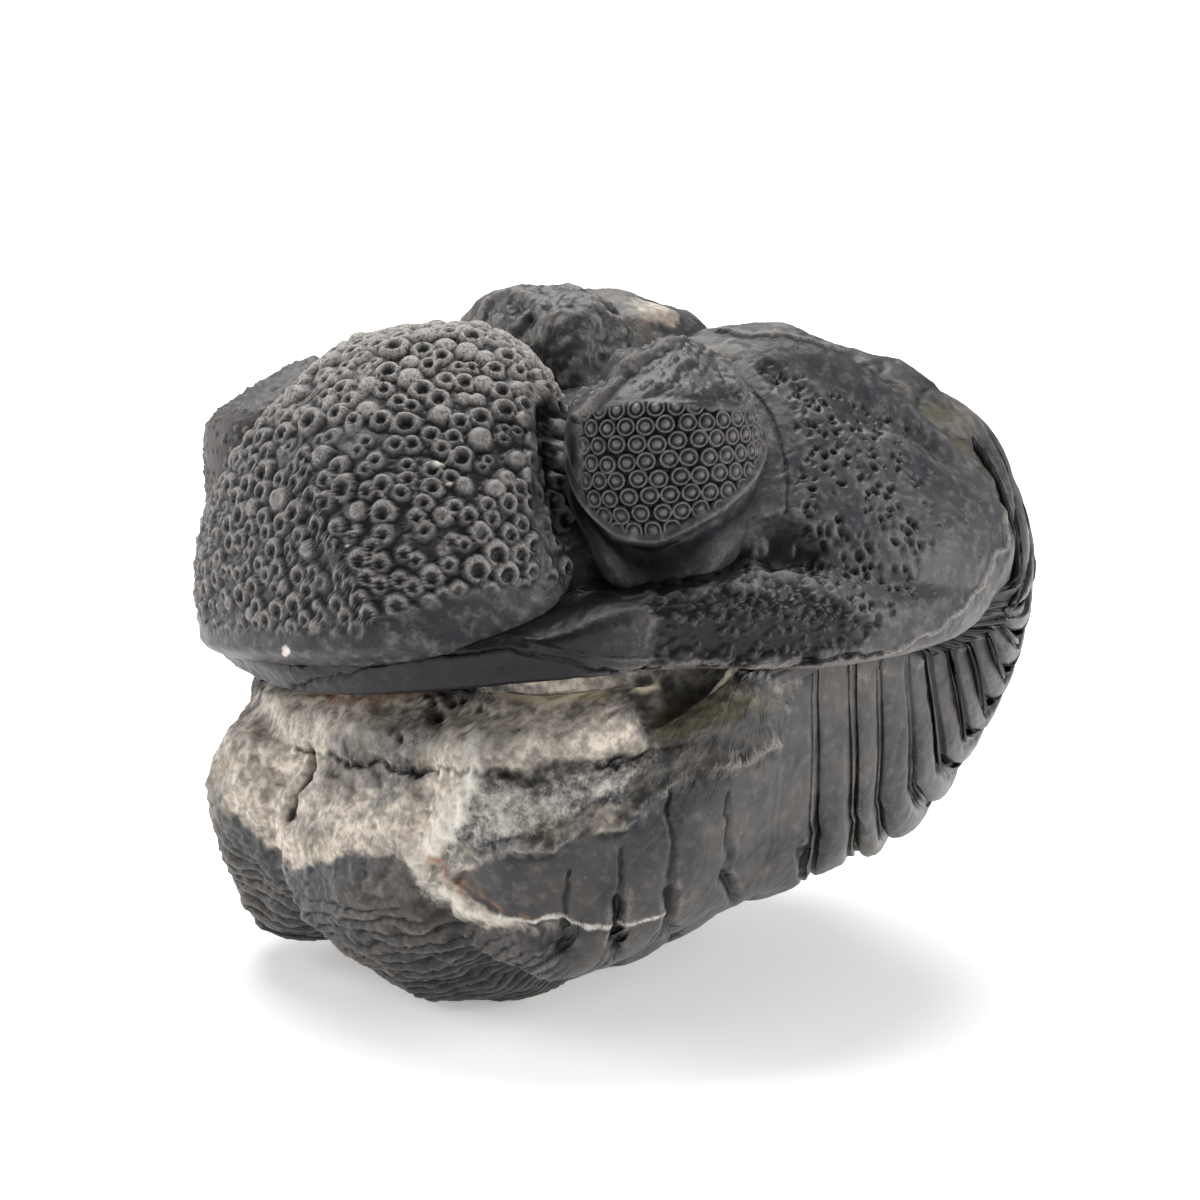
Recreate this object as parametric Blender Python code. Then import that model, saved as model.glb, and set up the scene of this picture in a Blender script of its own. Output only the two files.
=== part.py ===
"""An enrolled trilobite fossil, standing on the lowest part of its tail.

The animal is rolled up: the head shield is the top and the front, the thorax runs round the back, and
the tail shield comes forward under the head's front margin.  It is one stone body, so the forms below
are closed solids that Boolean unions make into one.  The shape is worked out in millimetres in the
animal's own frame (+X its left side, +Y its rear, +Z up through the head) and then leant into the
attitude in which the fossil stands.
"""
import math

import bmesh
import bpy
import numpy as np
from mathutils import Matrix, Vector

MM = 0.001

# Attitude: the head's top leans to the animal's right, and its nose is tipped up a little.
LEAN_RIGHT_DEG = 7.15
NOSE_UP_DEG = 2.05
REST_FLAT_DEPTH = 1.0

# Coiled thorax and tail: a ring of radius about 22 mm round the X axis, sheared forward at the bottom.
COIL_MID_Y = 0.3
COIL_MID_Z = -2.0
COIL_REAR = (24.7, 4.0)
COIL_UP = (6.5, 20.7)
AXIAL_VAULT = 0.135
TIP_LIFT = 1.3
NECK_DEPTH, NECK_DEG, NECK_REACH_DEG = 0.15, 171, 10
WORN_FLAT_DEPTH, WORN_FLAT_DEG, WORN_FLAT_REACH_DEG = 0.07, -108, 28
TAIL_CORNER_CUT, TAIL_CORNER_DEG, TAIL_CORNER_REACH_DEG = 0.05, -152, 26
BAR_SQUARENESS = 0.6
BAR_LEVEL = 0.6
WORN_RIB_LOSS = 0.65
TAIL_RIB_LOSS = 0.55
MATRIX_FILL = 0.10
CLOSING_DEPTH = 0.12
THORAX_SEGMENTS = 11
TAIL_RINGS = 6
CLOSING_STEPS = 5
CLOSING_ROWS = 6
RIB_STATIONS = 4
COIL_COLUMNS = 25

# Head shield: half-oval margin, rear border, rolled rim.
HEAD_HALF_WIDTH = 24.3
HEAD_REACH = 24.5
HEAD_MID_Y = -0.5
GENAL_ANGLE_DEG = 112.0
RIM_INSET = 1.8
DOUBLURE_LIFT = 0.15
BORDER_FURROW_DEPTH = 1.4
REAR_FURROW_DEPTH = 0.9
HEAD_CORE = (0.0, -4.0, 4.0)
HEAD_COLUMNS = 45

# Swollen glabella, the lobe between the eyes.
GLABELLA_MID = (0.0, -15.8, 1.0)
GLABELLA_HALF_WIDTH = 13.2
GLABELLA_FRONT = 11.4
GLABELLA_REAR = 12.0
GLABELLA_FOOT = 2.4
GLABELLA_SQUARENESS = 0.74
TUBERCLE_HEIGHT = 0.42
TUBERCLE_SUBDIVISIONS = 4

# Eyes: round towers with a band of lenses on the outer side and a peaked lid.
EYE_CENTRE = (14.9, -9.8)
EYE_OUT, EYE_IN = 4.9, 4.2
EYE_BACK, EYE_FORE = 6.0, 6.4
EYE_TURN_DEG = -14.0
EYE_LID_Z, EYE_PEAK_Z = 13.0, 17.8
EYE_PEAK_SHIFT = (-0.8, 2.0)
LENS_ROWS = 8
LENS_COLUMNS = 28
LENS_ARC_DEG = 206.0
INNER_COLUMNS = 8
LENS_HEIGHT = 0.24
RIGHT_EYE_SHIFT = (-1.2, -0.9, -1.1)

# Occipital ring, the arched bar at the back of the head.
OCCIPUT_MID = (0.0, -4.7, 16.4)
OCCIPUT_HALF_LENGTH = 7.8
OCCIPUT_DROP = 4.6
OCCIPUT_RADII = (3.3, 3.6)
OCCIPUT_BOW = 0.6
OCCIPUT_STATIONS, OCCIPUT_SIDES = 11, 12

FLOOR_BLOCK_SIZE = 60.0


def flow(stations, values, at):
    """Smooth curve through (stations, values) that never overshoots them, read at `at`."""
    stations = np.asarray(stations, float)
    values = np.asarray(values, float)
    gaps = np.diff(stations)
    slopes = np.diff(values) / gaps
    tangents = np.zeros_like(stations)
    tangents[0], tangents[-1] = slopes[0], slopes[-1]
    for k in range(1, len(stations) - 1):
        if slopes[k - 1] * slopes[k] > 0:
            before, after = 2 * gaps[k] + gaps[k - 1], gaps[k] + 2 * gaps[k - 1]
            tangents[k] = (before + after) / (before / slopes[k - 1] + after / slopes[k])
    at = np.clip(at, stations[0], stations[-1])
    i = np.clip(np.searchsorted(stations, at, side="right") - 1, 0, len(stations) - 2)
    s = (at - stations[i]) / gaps[i]
    start = values[i] * (1 + 2 * s) + gaps[i] * tangents[i] * s
    end = values[i + 1] * (3 - 2 * s) - gaps[i] * tangents[i + 1] * (1 - s)
    return start * (1 - s) ** 2 + end * s * s


def hump(at, middle, reach):
    """Smooth bump of height 1 at `middle` that is gone `reach` away from it."""
    s = np.clip(1 - np.abs(at - middle) / reach, 0, 1)
    return s * s * (3 - 2 * s)


def rise(low, high, at):
    """Smooth step from 0 at `low` to 1 at `high`."""
    s = np.clip((at - low) / (high - low), 0, 1)
    return s * s * (3 - 2 * s)


# Coil: the grooves between segments are numbered 0 to 11 on the thorax, to 17 on the tail, and to 22
# where the ring closes inside the head.  Each number has an angle on the axis, at the fulcrum, on the
# outer flank and at the tips, because the outer pleurae sweep forward and bunch under the head.
GROOVES = [0, 1, 2, 4, 6, 8, 10, 11, 13, 15, 17, 19, 21, 22]
AXIS_DEG = [96, 82, 68, 41, 13.5, -13.5, -40.5, -54, -78, -102, -128, -180, -235, -264]
FULCRUM_DEG = [84, 65, 46, 15, -10, -32, -55, -70, -94, -118, -142, -190, -250, -276]
FLANK_DEG = [62, 34, 14, -14, -33, -50, -70, -82, -105, -128, -152, -200, -272, -298]
TIP_DEG = [24, 8, -4, -22, -40, -57.5, -79, -96, -122, -146, -170, -215, -300, -336]

# Across the coil, from the crest (0) by the axial furrow (0.31) and the fulcrum (0.66) to the tips (1).
ACROSS = [0, .12, .22, .31, .36, .5, .66, .78, .9, 1]
ACROSS_X = [0, 3.0, 5.4, 7.2, 8.2, 12.0, 16.2, 18.8, 21.0, 22.0]
ACROSS_RADIUS = [.865, .865, .865, .865, .868, .85, .78, .67, .54, .45]
ACROSS_LOWER_HEIGHT = [.865, .865, .865, .865, .868, .85, .78, .63, .38, .13]
ACROSS_UPPER_HEIGHT = [.865, .865, .865, .865, .868, .85, .80, .72, .56, .40]
ACROSS_VAULT = [1, .86, .54, 0, 0, 0, 0, 0, 0, 0]
ACROSS_RIB = [.035, .034, .03, .008, .022, .034, .06, .068, .05, .006]

# Round the coil, by angle from the rear upwards: girth, height of the axial vault, and breadth.
ROUND_DEG = [-180, -165, -150, -140, -123, -105, -90, -75, -60, -45, -30, -10, 5, 30, 60, 90, 98, 110,
             125, 150, 180]
ROUND_GIRTH = [.94, .975, .965, .955, .91, .89, .84, .855, .96, 1.045, 1.05, 1.00, .96, .87, .86, .90,
               .99, 1.05, 1.0, .95, .94]
VAULT_DEG = [-180, -150, -138, -125, -102, -88, -76, -65, -55, -35, 90, 98, 110, 125, 150, 180]
VAULT_SIZE = [.6, .8, .85, 1.2, 1.35, 1.9, 2.2, 1.95, 1.5, 1.1, 1, 1.3, 1.9, 1.6, 1, .6]
BREADTH_DEG = [-180, -165, -150, -140, -120, -60, -10, 30, 90, 150, 180]
BREADTH = [.90, .95, .97, .97, .97, 1, 1.02, 1.03, 1.01, 1, .90]


def coil_angle(number, across):
    """Angle, in degrees, at which groove `number` stands at `across` of the half-width."""
    axis, fulcrum = flow(GROOVES, AXIS_DEG, number), flow(GROOVES, FULCRUM_DEG, number)
    flank, tip = flow(GROOVES, FLANK_DEG, number), flow(GROOVES, TIP_DEG, number)
    inner = rise(.30, .70, across)
    middle = np.clip((across - .60) / .22, 0, 1)
    outer = np.clip((across - .80) / .20, 0, 1)
    return axis + (fulcrum - axis) * inner + (flank - fulcrum) * middle + (tip - flank) * outer


def coil(number, across):
    """Point of the coil at groove number `number` and signed half-width fraction `across`."""
    side = np.sign(across)
    across = np.abs(across)
    angle = coil_angle(number, across)
    turned = np.radians(angle)
    wrapped = (angle + 180) % 360 - 180
    girth = flow(ROUND_DEG, ROUND_GIRTH, wrapped)
    vault = AXIAL_VAULT * flow(ACROSS, ACROSS_VAULT, across) * flow(VAULT_DEG, VAULT_SIZE, wrapped)
    outside = rise(.25, .45, across)
    flat = WORN_FLAT_DEPTH * hump(wrapped, WORN_FLAT_DEG, WORN_FLAT_REACH_DEG) * outside
    corner = TAIL_CORNER_CUT * hump(wrapped, TAIL_CORNER_DEG, TAIL_CORNER_REACH_DEG) * outside
    neck = NECK_DEPTH * hump(np.mod(angle, 360), NECK_DEG, NECK_REACH_DEG)
    tail = rise(THORAX_SEGMENTS - .5, THORAX_SEGMENTS + TAIL_RINGS, number)
    bar = np.abs(np.sin(math.pi * number)) ** BAR_SQUARENESS - BAR_LEVEL
    rear_end = rise(THORAX_SEGMENTS - .6, THORAX_SEGMENTS + .4, number)
    worn = 1 - WORN_RIB_LOSS * hump(across, .62, .3) * rear_end
    closing = rise(THORAX_SEGMENTS + TAIL_RINGS + .5, THORAX_SEGMENTS + TAIL_RINGS, number)
    rib = flow(ACROSS, ACROSS_RIB, across) * bar * (1 - TAIL_RIB_LOSS * tail) * worn * closing
    fill = MATRIX_FILL * hump(across, .52, .42) * rise(THORAX_SEGMENTS + 2.5, THORAX_SEGMENTS + 5.5, number)
    upper = rise(-12, 32, wrapped) * rise(178, 150, wrapped)
    low, high = flow(ACROSS, ACROSS_LOWER_HEIGHT, across), flow(ACROSS, ACROSS_UPPER_HEIGHT, across)
    sunk = CLOSING_DEPTH * rise(18, 19.5, number) * rise(22, 20.8, number) * rise(.5, .65, across)
    extra = vault + fill - flat - corner - sunk
    radius = ((flow(ACROSS, ACROSS_RADIUS, across) + extra) * girth + rib) * (1 - neck)
    height = (low + (high - low) * upper + extra) * girth + rib
    x = side * flow(ACROSS, ACROSS_X, across) * flow(BREADTH_DEG, BREADTH, wrapped)
    y = COIL_MID_Y + radius * (COIL_REAR[0] * np.cos(turned) + COIL_UP[0] * np.sin(turned))
    z = COIL_MID_Z + height * (COIL_REAR[1] * np.cos(turned) + COIL_UP[1] * np.sin(turned))
    return np.stack([x, y, z + TIP_LIFT * rise(.78, 1, across)], -1)


# Head shield stations run from the right genal angle (-1) by the front (0) to the left one (1).
MARGIN_AT = [-1, -.8, -.6, -.45, -.27, -.13, 0, .45, .7, .85, .94, 1]
MARGIN_Z = [.5, -.6, -.8, -.5, -.3, -1.2, -2.0, -1.1, -1.8, -1.55, -.95, -.1]
REAR_AT = [0, .25, .5, .6, .7, .78, .85, .9, .96, 1]
REAR_X = [0, 6.5, 13, 15.5, 17.6, 19.4, 21.2, 22.2, 23.3, 23.0]
REAR_Y = [-5, -4.4, .3, 2.7, 4.4, 6.6, 8.1, 9.1, 9.9, 9.6]
REAR_Z = [15.5, 15.6, 16.7, 15.8, 13.7, 11.2, 8.8, 6.9, 3.3, 1.2]
BULGE_AT = [0, .3, .45, .6, .8, 1]
BULGE = [3.0, 2.0, 1.1, 1.5, 1.7, 0]
FURROW = [.3, .8, 1.0, .6, .12, 0]
RIM_CREST = [.06, .09, .16, .15, .13, .12]
RIM_SWELL = [1.7, 1.7, 2.0, 1.2, .5, 0]
UP_THE_CHEEK = [0, .03, .06, .10, .14, .18, .23, .29, .37, .48, .62, .75, .85, .93, 1]


def head_margin(along):
    """Lower edge of the head shield at station `along`."""
    turn = np.radians(GENAL_ANGLE_DEG * along)
    x = HEAD_HALF_WIDTH * np.sin(turn)
    y = HEAD_MID_Y - HEAD_REACH * np.cos(turn)
    return np.stack([x, y, flow(MARGIN_AT, MARGIN_Z, along)], -1)


def head_rear(along):
    """Rear edge of the head shield at station `along`."""
    away = np.abs(along)
    x = np.sign(along) * flow(REAR_AT, REAR_X, away)
    return np.stack([x, flow(REAR_AT, REAR_Y, away), flow(REAR_AT, REAR_Z, away)], -1)


def head_outward(along):
    """Unit vector out of the cheek at station `along`."""
    away = np.abs(along)
    x = np.sign(along) * flow([0, .4, .8, 1], [0, .75, .95, .8], away)
    y = -flow([0, .4, .8, 1], [1, .6, .15, .1], away)
    out = np.stack([x, y, np.full_like(x, .25)], -1)
    return out / np.linalg.norm(out, axis=-1, keepdims=True)


def cheek(along, upward):
    """Point of the head shield: `upward` is 0 on the margin and 1 on the rear edge."""
    away = np.abs(along)
    low, high = head_margin(along), head_rear(along)
    bulge = flow(BULGE_AT, BULGE, away) * 4 * upward * (1 - upward)
    crest = flow(BULGE_AT, RIM_CREST, away)
    rim = flow(BULGE_AT, RIM_SWELL, away) * hump(upward, crest, crest + .02)
    furrow = BORDER_FURROW_DEPTH * flow(BULGE_AT, FURROW, away) * hump(upward, crest + .17, .12)
    rear_furrow = REAR_FURROW_DEPTH * hump(upward, .86, .09) * rise(.38, .5, away) * rise(.92, .78, away)
    lift = bulge + rim - furrow - rear_furrow
    return low + (high - low) * upward[..., None] + head_outward(along) * lift[..., None]


# Glabella, from its front to its rear: height of the crown over its middle, and share of its width.
CROWN_Y = [-28, -26, -20, -14, -8, -3]
CROWN_Z = [12.4, 13.4, 15.6, 17.0, 17.7, 17.0]
TAPER_Y = [-28, -17, -10, -5, -3]
TAPER = [.96, 1.0, .82, .62, .55]


def glabella(direction, lift):
    """Map a unit direction to the boxy glabella, raised by `lift` along that direction."""
    dx, dy, dz = direction.T
    level = np.hypot(dx, dy)
    ring = level ** GLABELLA_SQUARENESS
    cos, sin = -dy / np.maximum(level, 1e-9), dx / np.maximum(level, 1e-9)
    reach = np.where(cos > 0, GLABELLA_FRONT, GLABELLA_REAR)
    y = GLABELLA_MID[1] - reach * ring * np.sign(cos) * np.abs(cos) ** .85
    wide = GLABELLA_HALF_WIDTH * flow(TAPER_Y, TAPER, y)
    x = wide * ring * np.sign(sin) * np.abs(sin) ** .85
    tall = np.where(dz > 0, flow(CROWN_Y, CROWN_Z, y), GLABELLA_FOOT)
    z = GLABELLA_MID[2] + tall * np.sign(dz) * np.abs(dz) ** .94
    return np.stack([x, y, z], -1) + direction * lift[:, None]


# Eye, from its foot (0) to its peak (1): height, and share of its reach.
EYE_STEPS = [0, .2, .32, .48, .62, .74, .82, .91, 1]
EYE_Z = [0.5, 3.0, 5.6, 8.5, 11.5, 13.6, 15.0, 16.6, EYE_PEAK_Z]
EYE_GIRTH = [.45, .68, .86, 1.0, .985, .90, .70, .40, 0]


def eye(turn, step, lift):
    """Point of the left eye: `turn` in degrees from its outer side to the rear, `step` foot to peak."""
    turn = np.radians(turn)
    girth = flow(EYE_STEPS, EYE_GIRTH, step)
    z = flow(EYE_STEPS, EYE_Z, step)
    cos, sin = np.cos(turn), np.sin(turn)
    out = (np.where(cos > 0, EYE_OUT, EYE_IN) * girth + lift) * cos
    back = (np.where(sin > 0, EYE_BACK, EYE_FORE) * girth + lift) * sin
    peak = np.clip((z - EYE_LID_Z) / (EYE_PEAK_Z - EYE_LID_Z), 0, 1)
    twist = math.radians(EYE_TURN_DEG)
    x = EYE_CENTRE[0] + out * math.cos(twist) - back * math.sin(twist) + EYE_PEAK_SHIFT[0] * peak
    y = EYE_CENTRE[1] + out * math.sin(twist) + back * math.cos(twist) + EYE_PEAK_SHIFT[1] * peak
    return np.stack([x, y, z], -1)


def occiput(turn, along):
    """Point of the occipital ring: `turn` round the bar, `along` -1 to 1 from end to end."""
    end = np.sqrt(np.clip(1 - along ** 6, 0, 1))
    x = OCCIPUT_MID[0] + OCCIPUT_HALF_LENGTH * along
    y = OCCIPUT_MID[1] + OCCIPUT_BOW * along ** 2 + OCCIPUT_RADII[0] * end * np.cos(turn)
    z = OCCIPUT_MID[2] - OCCIPUT_DROP * along ** 2 + OCCIPUT_RADII[1] * end * np.sin(turn)
    return np.stack([x, y, z], -1)


def grid_faces(rows, columns, loop):
    """Quads of a grid of `rows` by `columns` points, its rows closed into rings if `loop`."""
    ring = columns if loop else columns - 1
    return [
        (r * columns + c, r * columns + (c + 1) % columns,
         (r + 1) * columns + (c + 1) % columns, (r + 1) * columns + c)
        for r in range(rows - 1) for c in range(ring)
    ]


def solid(name, points, faces):
    """A closed mesh object, its points given in millimetres and its faces turned outward."""
    mesh = bpy.data.meshes.new(name)
    mesh.from_pydata((np.asarray(points) * MM).tolist(), [], faces)
    shaped = bmesh.new()
    shaped.from_mesh(mesh)
    bmesh.ops.recalc_face_normals(shaped, faces=shaped.faces)
    bmesh.ops.triangulate(shaped, faces=shaped.faces)
    shaped.to_mesh(mesh)
    shaped.free()
    made = bpy.data.objects.new(name, mesh)
    bpy.context.collection.objects.link(made)
    return made


def make_coil():
    """The thorax and tail, one closed ring with a fan over each flank."""
    last = THORAX_SEGMENTS + TAIL_RINGS
    ribbed = np.linspace(0, last, last * RIB_STATIONS + 1)
    closing = np.linspace(last, last + CLOSING_STEPS, CLOSING_ROWS + 2)[1:-1]
    numbers = np.concatenate([ribbed, closing])
    across = np.linspace(-1, 1, COIL_COLUMNS)
    points = coil(*np.meshgrid(across, numbers, indexing="ij")[::-1])
    rows, columns = points.shape[:2]
    points = points.reshape(-1, 3)
    faces = grid_faces(rows, columns, loop=True)
    flanks = [points[:columns].mean(axis=0), points[-columns:].mean(axis=0)]
    for first, centre in ((0, rows * columns), ((rows - 1) * columns, rows * columns + 1)):
        faces += [(first + c, first + (c + 1) % columns, centre) for c in range(columns)]
    return solid("trilobite_fossil", np.vstack([points, flanks]), faces)


def make_head():
    """The head shield: its outer face, a flat doublure under the rim, and a fan to a core point."""
    along = np.linspace(-1, 1, HEAD_COLUMNS)
    upward, station = np.meshgrid(UP_THE_CHEEK, along, indexing="ij")
    face = cheek(station, upward)
    inset = head_margin(along)
    inset[:, :2] *= 1 - RIM_INSET / HEAD_REACH
    inset[:, 2] += DOUBLURE_LIFT
    points = np.vstack([inset[None], face]).reshape(-1, 3)
    rows, columns = len(UP_THE_CHEEK) + 1, HEAD_COLUMNS
    faces = grid_faces(rows, columns, loop=False)
    edge = list(range(columns))
    edge += [r * columns + columns - 1 for r in range(1, rows)]
    edge += [(rows - 1) * columns + c for c in range(columns - 2, -1, -1)]
    edge += [r * columns for r in range(rows - 2, 0, -1)]
    core = rows * columns
    faces += [(a, b, core) for a, b in zip(edge, edge[1:] + edge[:1])]
    return solid("head_shield", np.vstack([points, HEAD_CORE]), faces)


def make_glabella():
    """The glabella, with a tubercle on every vertex of a fine icosphere."""
    ball = bmesh.new()
    bmesh.ops.create_icosphere(ball, subdivisions=TUBERCLE_SUBDIVISIONS, radius=1.0)
    ball.faces.ensure_lookup_table()
    tops = np.array([v.co for v in ball.verts])
    hollows = np.array([f.calc_center_median() for f in ball.faces])
    hollows /= np.linalg.norm(hollows, axis=1, keepdims=True)
    faces = []
    for edge in ball.edges:
        one, other = (f.index + len(tops) for f in edge.link_faces)
        a, b = edge.verts[0].index, edge.verts[1].index
        faces += [(a, one, other), (b, other, one)]
    ball.free()
    directions = np.vstack([tops, hollows])
    heights = TUBERCLE_HEIGHT * rise(-.2, 0, tops[:, 2])
    lift = np.concatenate([heights, np.zeros(len(hollows))])
    return solid("glabella", glabella(directions, lift), faces)


def make_eye(name, right):
    """One eye, its outer side set with staggered lenses; the right one is mirrored and moved."""
    lens_turn = np.linspace(-LENS_ARC_DEG / 2, LENS_ARC_DEG / 2, LENS_COLUMNS + 1)
    inner_turn = np.linspace(LENS_ARC_DEG / 2, 360 - LENS_ARC_DEG / 2, INNER_COLUMNS + 1)[1:-1]
    turns = np.concatenate([lens_turn, inner_turn])
    band = np.linspace(.30, .745, LENS_ROWS + 1)
    steps = np.concatenate([[0, .17], band, [.82, .91, .97]])
    row, column = np.meshgrid(np.arange(len(steps)), np.arange(len(turns)), indexing="ij")
    in_band = (row > 2) & (row < 2 + LENS_ROWS) & (column > 0) & (column < LENS_COLUMNS)
    lift = np.where(in_band & ((row + column) % 2 == 0), LENS_HEIGHT, 0.0)
    step, turn = np.meshgrid(steps, turns, indexing="ij")
    points = eye(turn, step, lift).reshape(-1, 3)
    foot = points[:len(turns)].mean(axis=0)
    peak = eye(np.array([0.0]), np.array([1.0]), np.array([0.0]))[0]
    points = np.vstack([points, foot, peak])
    if right:
        points = points * (-1, 1, 1) + RIGHT_EYE_SHIFT
    faces = []
    for a, b, c, d in grid_faces(len(steps), len(turns), loop=True):
        high = (a // len(turns) + a % len(turns)) % 2 == 0
        faces += [(a, b, d), (b, c, d)] if high else [(a, b, c), (a, c, d)]
    count = len(steps) * len(turns)
    last = count - len(turns)
    faces += [(c, (c + 1) % len(turns), count) for c in range(len(turns))]
    faces += [(last + c, last + (c + 1) % len(turns), count + 1) for c in range(len(turns))]
    return solid(name, points, faces)


def make_occiput():
    """The occipital ring, a bent bar with closed ends."""
    along = np.sin(np.linspace(-math.pi / 2, math.pi / 2, OCCIPUT_STATIONS))[1:-1]
    turns = np.linspace(0, 2 * math.pi, OCCIPUT_SIDES + 1)[:-1]
    along_grid, turn_grid = np.meshgrid(along, turns, indexing="ij")
    points = occiput(turn_grid, along_grid).reshape(-1, 3)
    ends = occiput(np.zeros(2), np.array([-1.0, 1.0]))
    faces = grid_faces(len(along), len(turns), loop=True)
    count = len(points)
    for first, centre in ((0, count), (count - len(turns), count + 1)):
        faces += [(first + c, first + (c + 1) % len(turns), centre) for c in range(len(turns))]
    return solid("occipital_ring", np.vstack([points, ends]), faces)


def combine(body, other, operation):
    """Add an EXACT Boolean of `other` to `body`, and keep `other` as a wire guide."""
    modifier = body.modifiers.new(other.name, "BOOLEAN")
    modifier.operation = operation
    modifier.solver = "EXACT"
    modifier.object = other
    other.hide_render = True
    other.display_type = "WIRE"


def lowest_block(body, attitude):
    """Stand the body on the floor: set the attitude's place, and return the block under its flat."""
    bpy.context.view_layer.update()
    evaluated = body.evaluated_get(bpy.context.evaluated_depsgraph_get())
    corners = np.array([attitude.matrix_world @ v.co for v in evaluated.data.vertices])
    low, high = corners.min(axis=0), corners.max(axis=0)
    middle = (low + high) / 2
    attitude.location = -Vector((middle[0], middle[1], low[2] + REST_FLAT_DEPTH * MM))
    block_size = FLOOR_BLOCK_SIZE * MM
    mesh = bpy.data.meshes.new("floor_block")
    shaped = bmesh.new()
    place = Matrix.Translation((0, 0, -block_size / 2))
    bmesh.ops.create_cube(shaped, size=block_size, matrix=place)
    shaped.to_mesh(mesh)
    shaped.free()
    block = bpy.data.objects.new("floor_block", mesh)
    bpy.context.collection.objects.link(block)
    return block


def stone_material():
    """Dark satin calcite."""
    material = bpy.data.materials.new("charcoal_calcite")
    material.use_nodes = True
    shader = material.node_tree.nodes["Principled BSDF"]
    shader.inputs["Base Color"].default_value = (0.045, 0.044, 0.046, 1)
    shader.inputs["Roughness"].default_value = 0.48
    shader.inputs["Metallic"].default_value = 0.0
    return material


def build():
    """Make the fossil and stand it on its rest flat."""
    for old in list(bpy.data.objects):
        bpy.data.objects.remove(old, do_unlink=True)
    fossil = make_coil()
    guides = [make_head(), make_glabella(), make_occiput()]
    guides += [make_eye("left_eye", right=False), make_eye("right_eye", right=True)]
    attitude = bpy.data.objects.new("attitude", None)
    bpy.context.collection.objects.link(attitude)
    lean = Vector((math.radians(-NOSE_UP_DEG), math.radians(-LEAN_RIGHT_DEG), 0))
    attitude.rotation_mode = "QUATERNION"
    attitude.rotation_quaternion = Matrix.Rotation(lean.length, 3, lean.normalized()).to_quaternion()
    for piece in [fossil, *guides]:
        piece.parent = attitude
    for guide in guides:
        combine(fossil, guide, "UNION")
    combine(fossil, lowest_block(fossil, attitude), "DIFFERENCE")
    fossil.data.materials.append(stone_material())
    fossil.data.shade_flat()


build()
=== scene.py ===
"""A rolled-up trilobite in dark calcite, with a strip of tan matrix under its head.

Every form is a function of two parameters, worked out in millimetres in the animal's own frame
(+X its left side, +Y its rear, +Z up through the head), stood in the row frame by Attitude, and
then given its relief along its normals.  Marks such as dusting, rust or matrix, painted highlight and
painted shade are worked out with the relief and kept on the vertices, where the finishes read them.
"""
import itertools
import logging
import math
from dataclasses import dataclass, field, replace
from enum import Enum

import bpy
import numpy as np
from mathutils import Matrix, Vector


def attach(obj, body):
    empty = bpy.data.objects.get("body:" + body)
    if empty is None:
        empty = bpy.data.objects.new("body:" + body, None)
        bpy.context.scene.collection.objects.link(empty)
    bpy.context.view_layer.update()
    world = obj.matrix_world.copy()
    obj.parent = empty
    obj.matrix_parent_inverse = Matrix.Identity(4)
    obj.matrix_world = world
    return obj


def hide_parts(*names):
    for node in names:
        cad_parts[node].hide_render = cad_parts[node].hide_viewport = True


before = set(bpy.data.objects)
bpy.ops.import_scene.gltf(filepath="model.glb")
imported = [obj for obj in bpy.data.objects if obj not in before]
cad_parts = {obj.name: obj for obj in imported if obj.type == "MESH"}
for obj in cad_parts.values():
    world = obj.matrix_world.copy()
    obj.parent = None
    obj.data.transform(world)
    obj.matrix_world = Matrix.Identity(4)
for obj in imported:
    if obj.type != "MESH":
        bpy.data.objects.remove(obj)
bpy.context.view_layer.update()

LOG = logging.getLogger("trilobite")
NODE = "trilobite_fossil"
MM = 0.001
Array = np.ndarray
Pixel = tuple[float, float]
Colour = tuple[float, float, float]


class Mark(str, Enum):
    """The marks that a vertex carries, each from 0 to 1."""

    # Dusting on raised edges, mixed with painted highlight on rims, ridges and tops.
    DUST_AND_HIGHLIGHT = "dust_and_highlight"
    # Painted shade in hollows, pits, creases, grooves and on undersides.
    SHADE = "shade"
    TAN = "tan"
    OLIVE = "olive"
    BUFF = "buff"
    WHITE = "white"
    RUST = "rust"


class Side(Enum):
    """A side of the animal, as the sign of its X."""

    LEFT = 1
    RIGHT = -1


def flow(stations: tuple, values: tuple, at: Array) -> Array:
    """Smooth curve through the stations that never overshoots them.

    Each span is a cubic whose end slopes are the harmonic means of the neighbouring chords.

    Args:
        stations: rising places.
        values: the value at each station.
        at: where the curve is read.

    Returns:
        The curve at every element of `at`, level beyond the ends.
    """
    stations, values = np.asarray(stations, float), np.asarray(values, float)
    gaps = np.diff(stations)
    slopes = np.diff(values) / gaps
    before, after = 2 * gaps[1:] + gaps[:-1], gaps[1:] + 2 * gaps[:-1]
    agree = slopes[:-1] * slopes[1:] > 0
    left, right = np.where(agree, slopes[:-1], 1), np.where(agree, slopes[1:], 1)
    inner = np.where(agree, (before + after) / (before / left + after / right), 0)
    tangents = np.concatenate([slopes[:1], inner, slopes[-1:]])
    at = np.clip(at, stations[0], stations[-1])
    i = np.clip(np.searchsorted(stations, at, side="right") - 1, 0, len(stations) - 2)
    s = (at - stations[i]) / gaps[i]
    start = values[i] * (1 + 2 * s) + gaps[i] * tangents[i] * s
    end = values[i + 1] * (3 - 2 * s) - gaps[i] * tangents[i + 1] * (1 - s)
    return start * (1 - s) ** 2 + end * s * s


def hump(at: Array, middle: float | Array, reach: float | Array) -> Array:
    """Smooth bump of height 1 at `middle` that is gone `reach` away from it."""
    s = np.clip(1 - np.abs(at - middle) / reach, 0, 1)
    return s * s * (3 - 2 * s)


def rise(low: float, high: float, at: Array) -> Array:
    """Smooth step from 0 at `low` to 1 at `high`, which may be the smaller of the two."""
    s = np.clip((at - low) / (high - low), 0, 1)
    return s * s * (3 - 2 * s)


SHUFFLE = np.random.default_rng(11).permutation(256)


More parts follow.
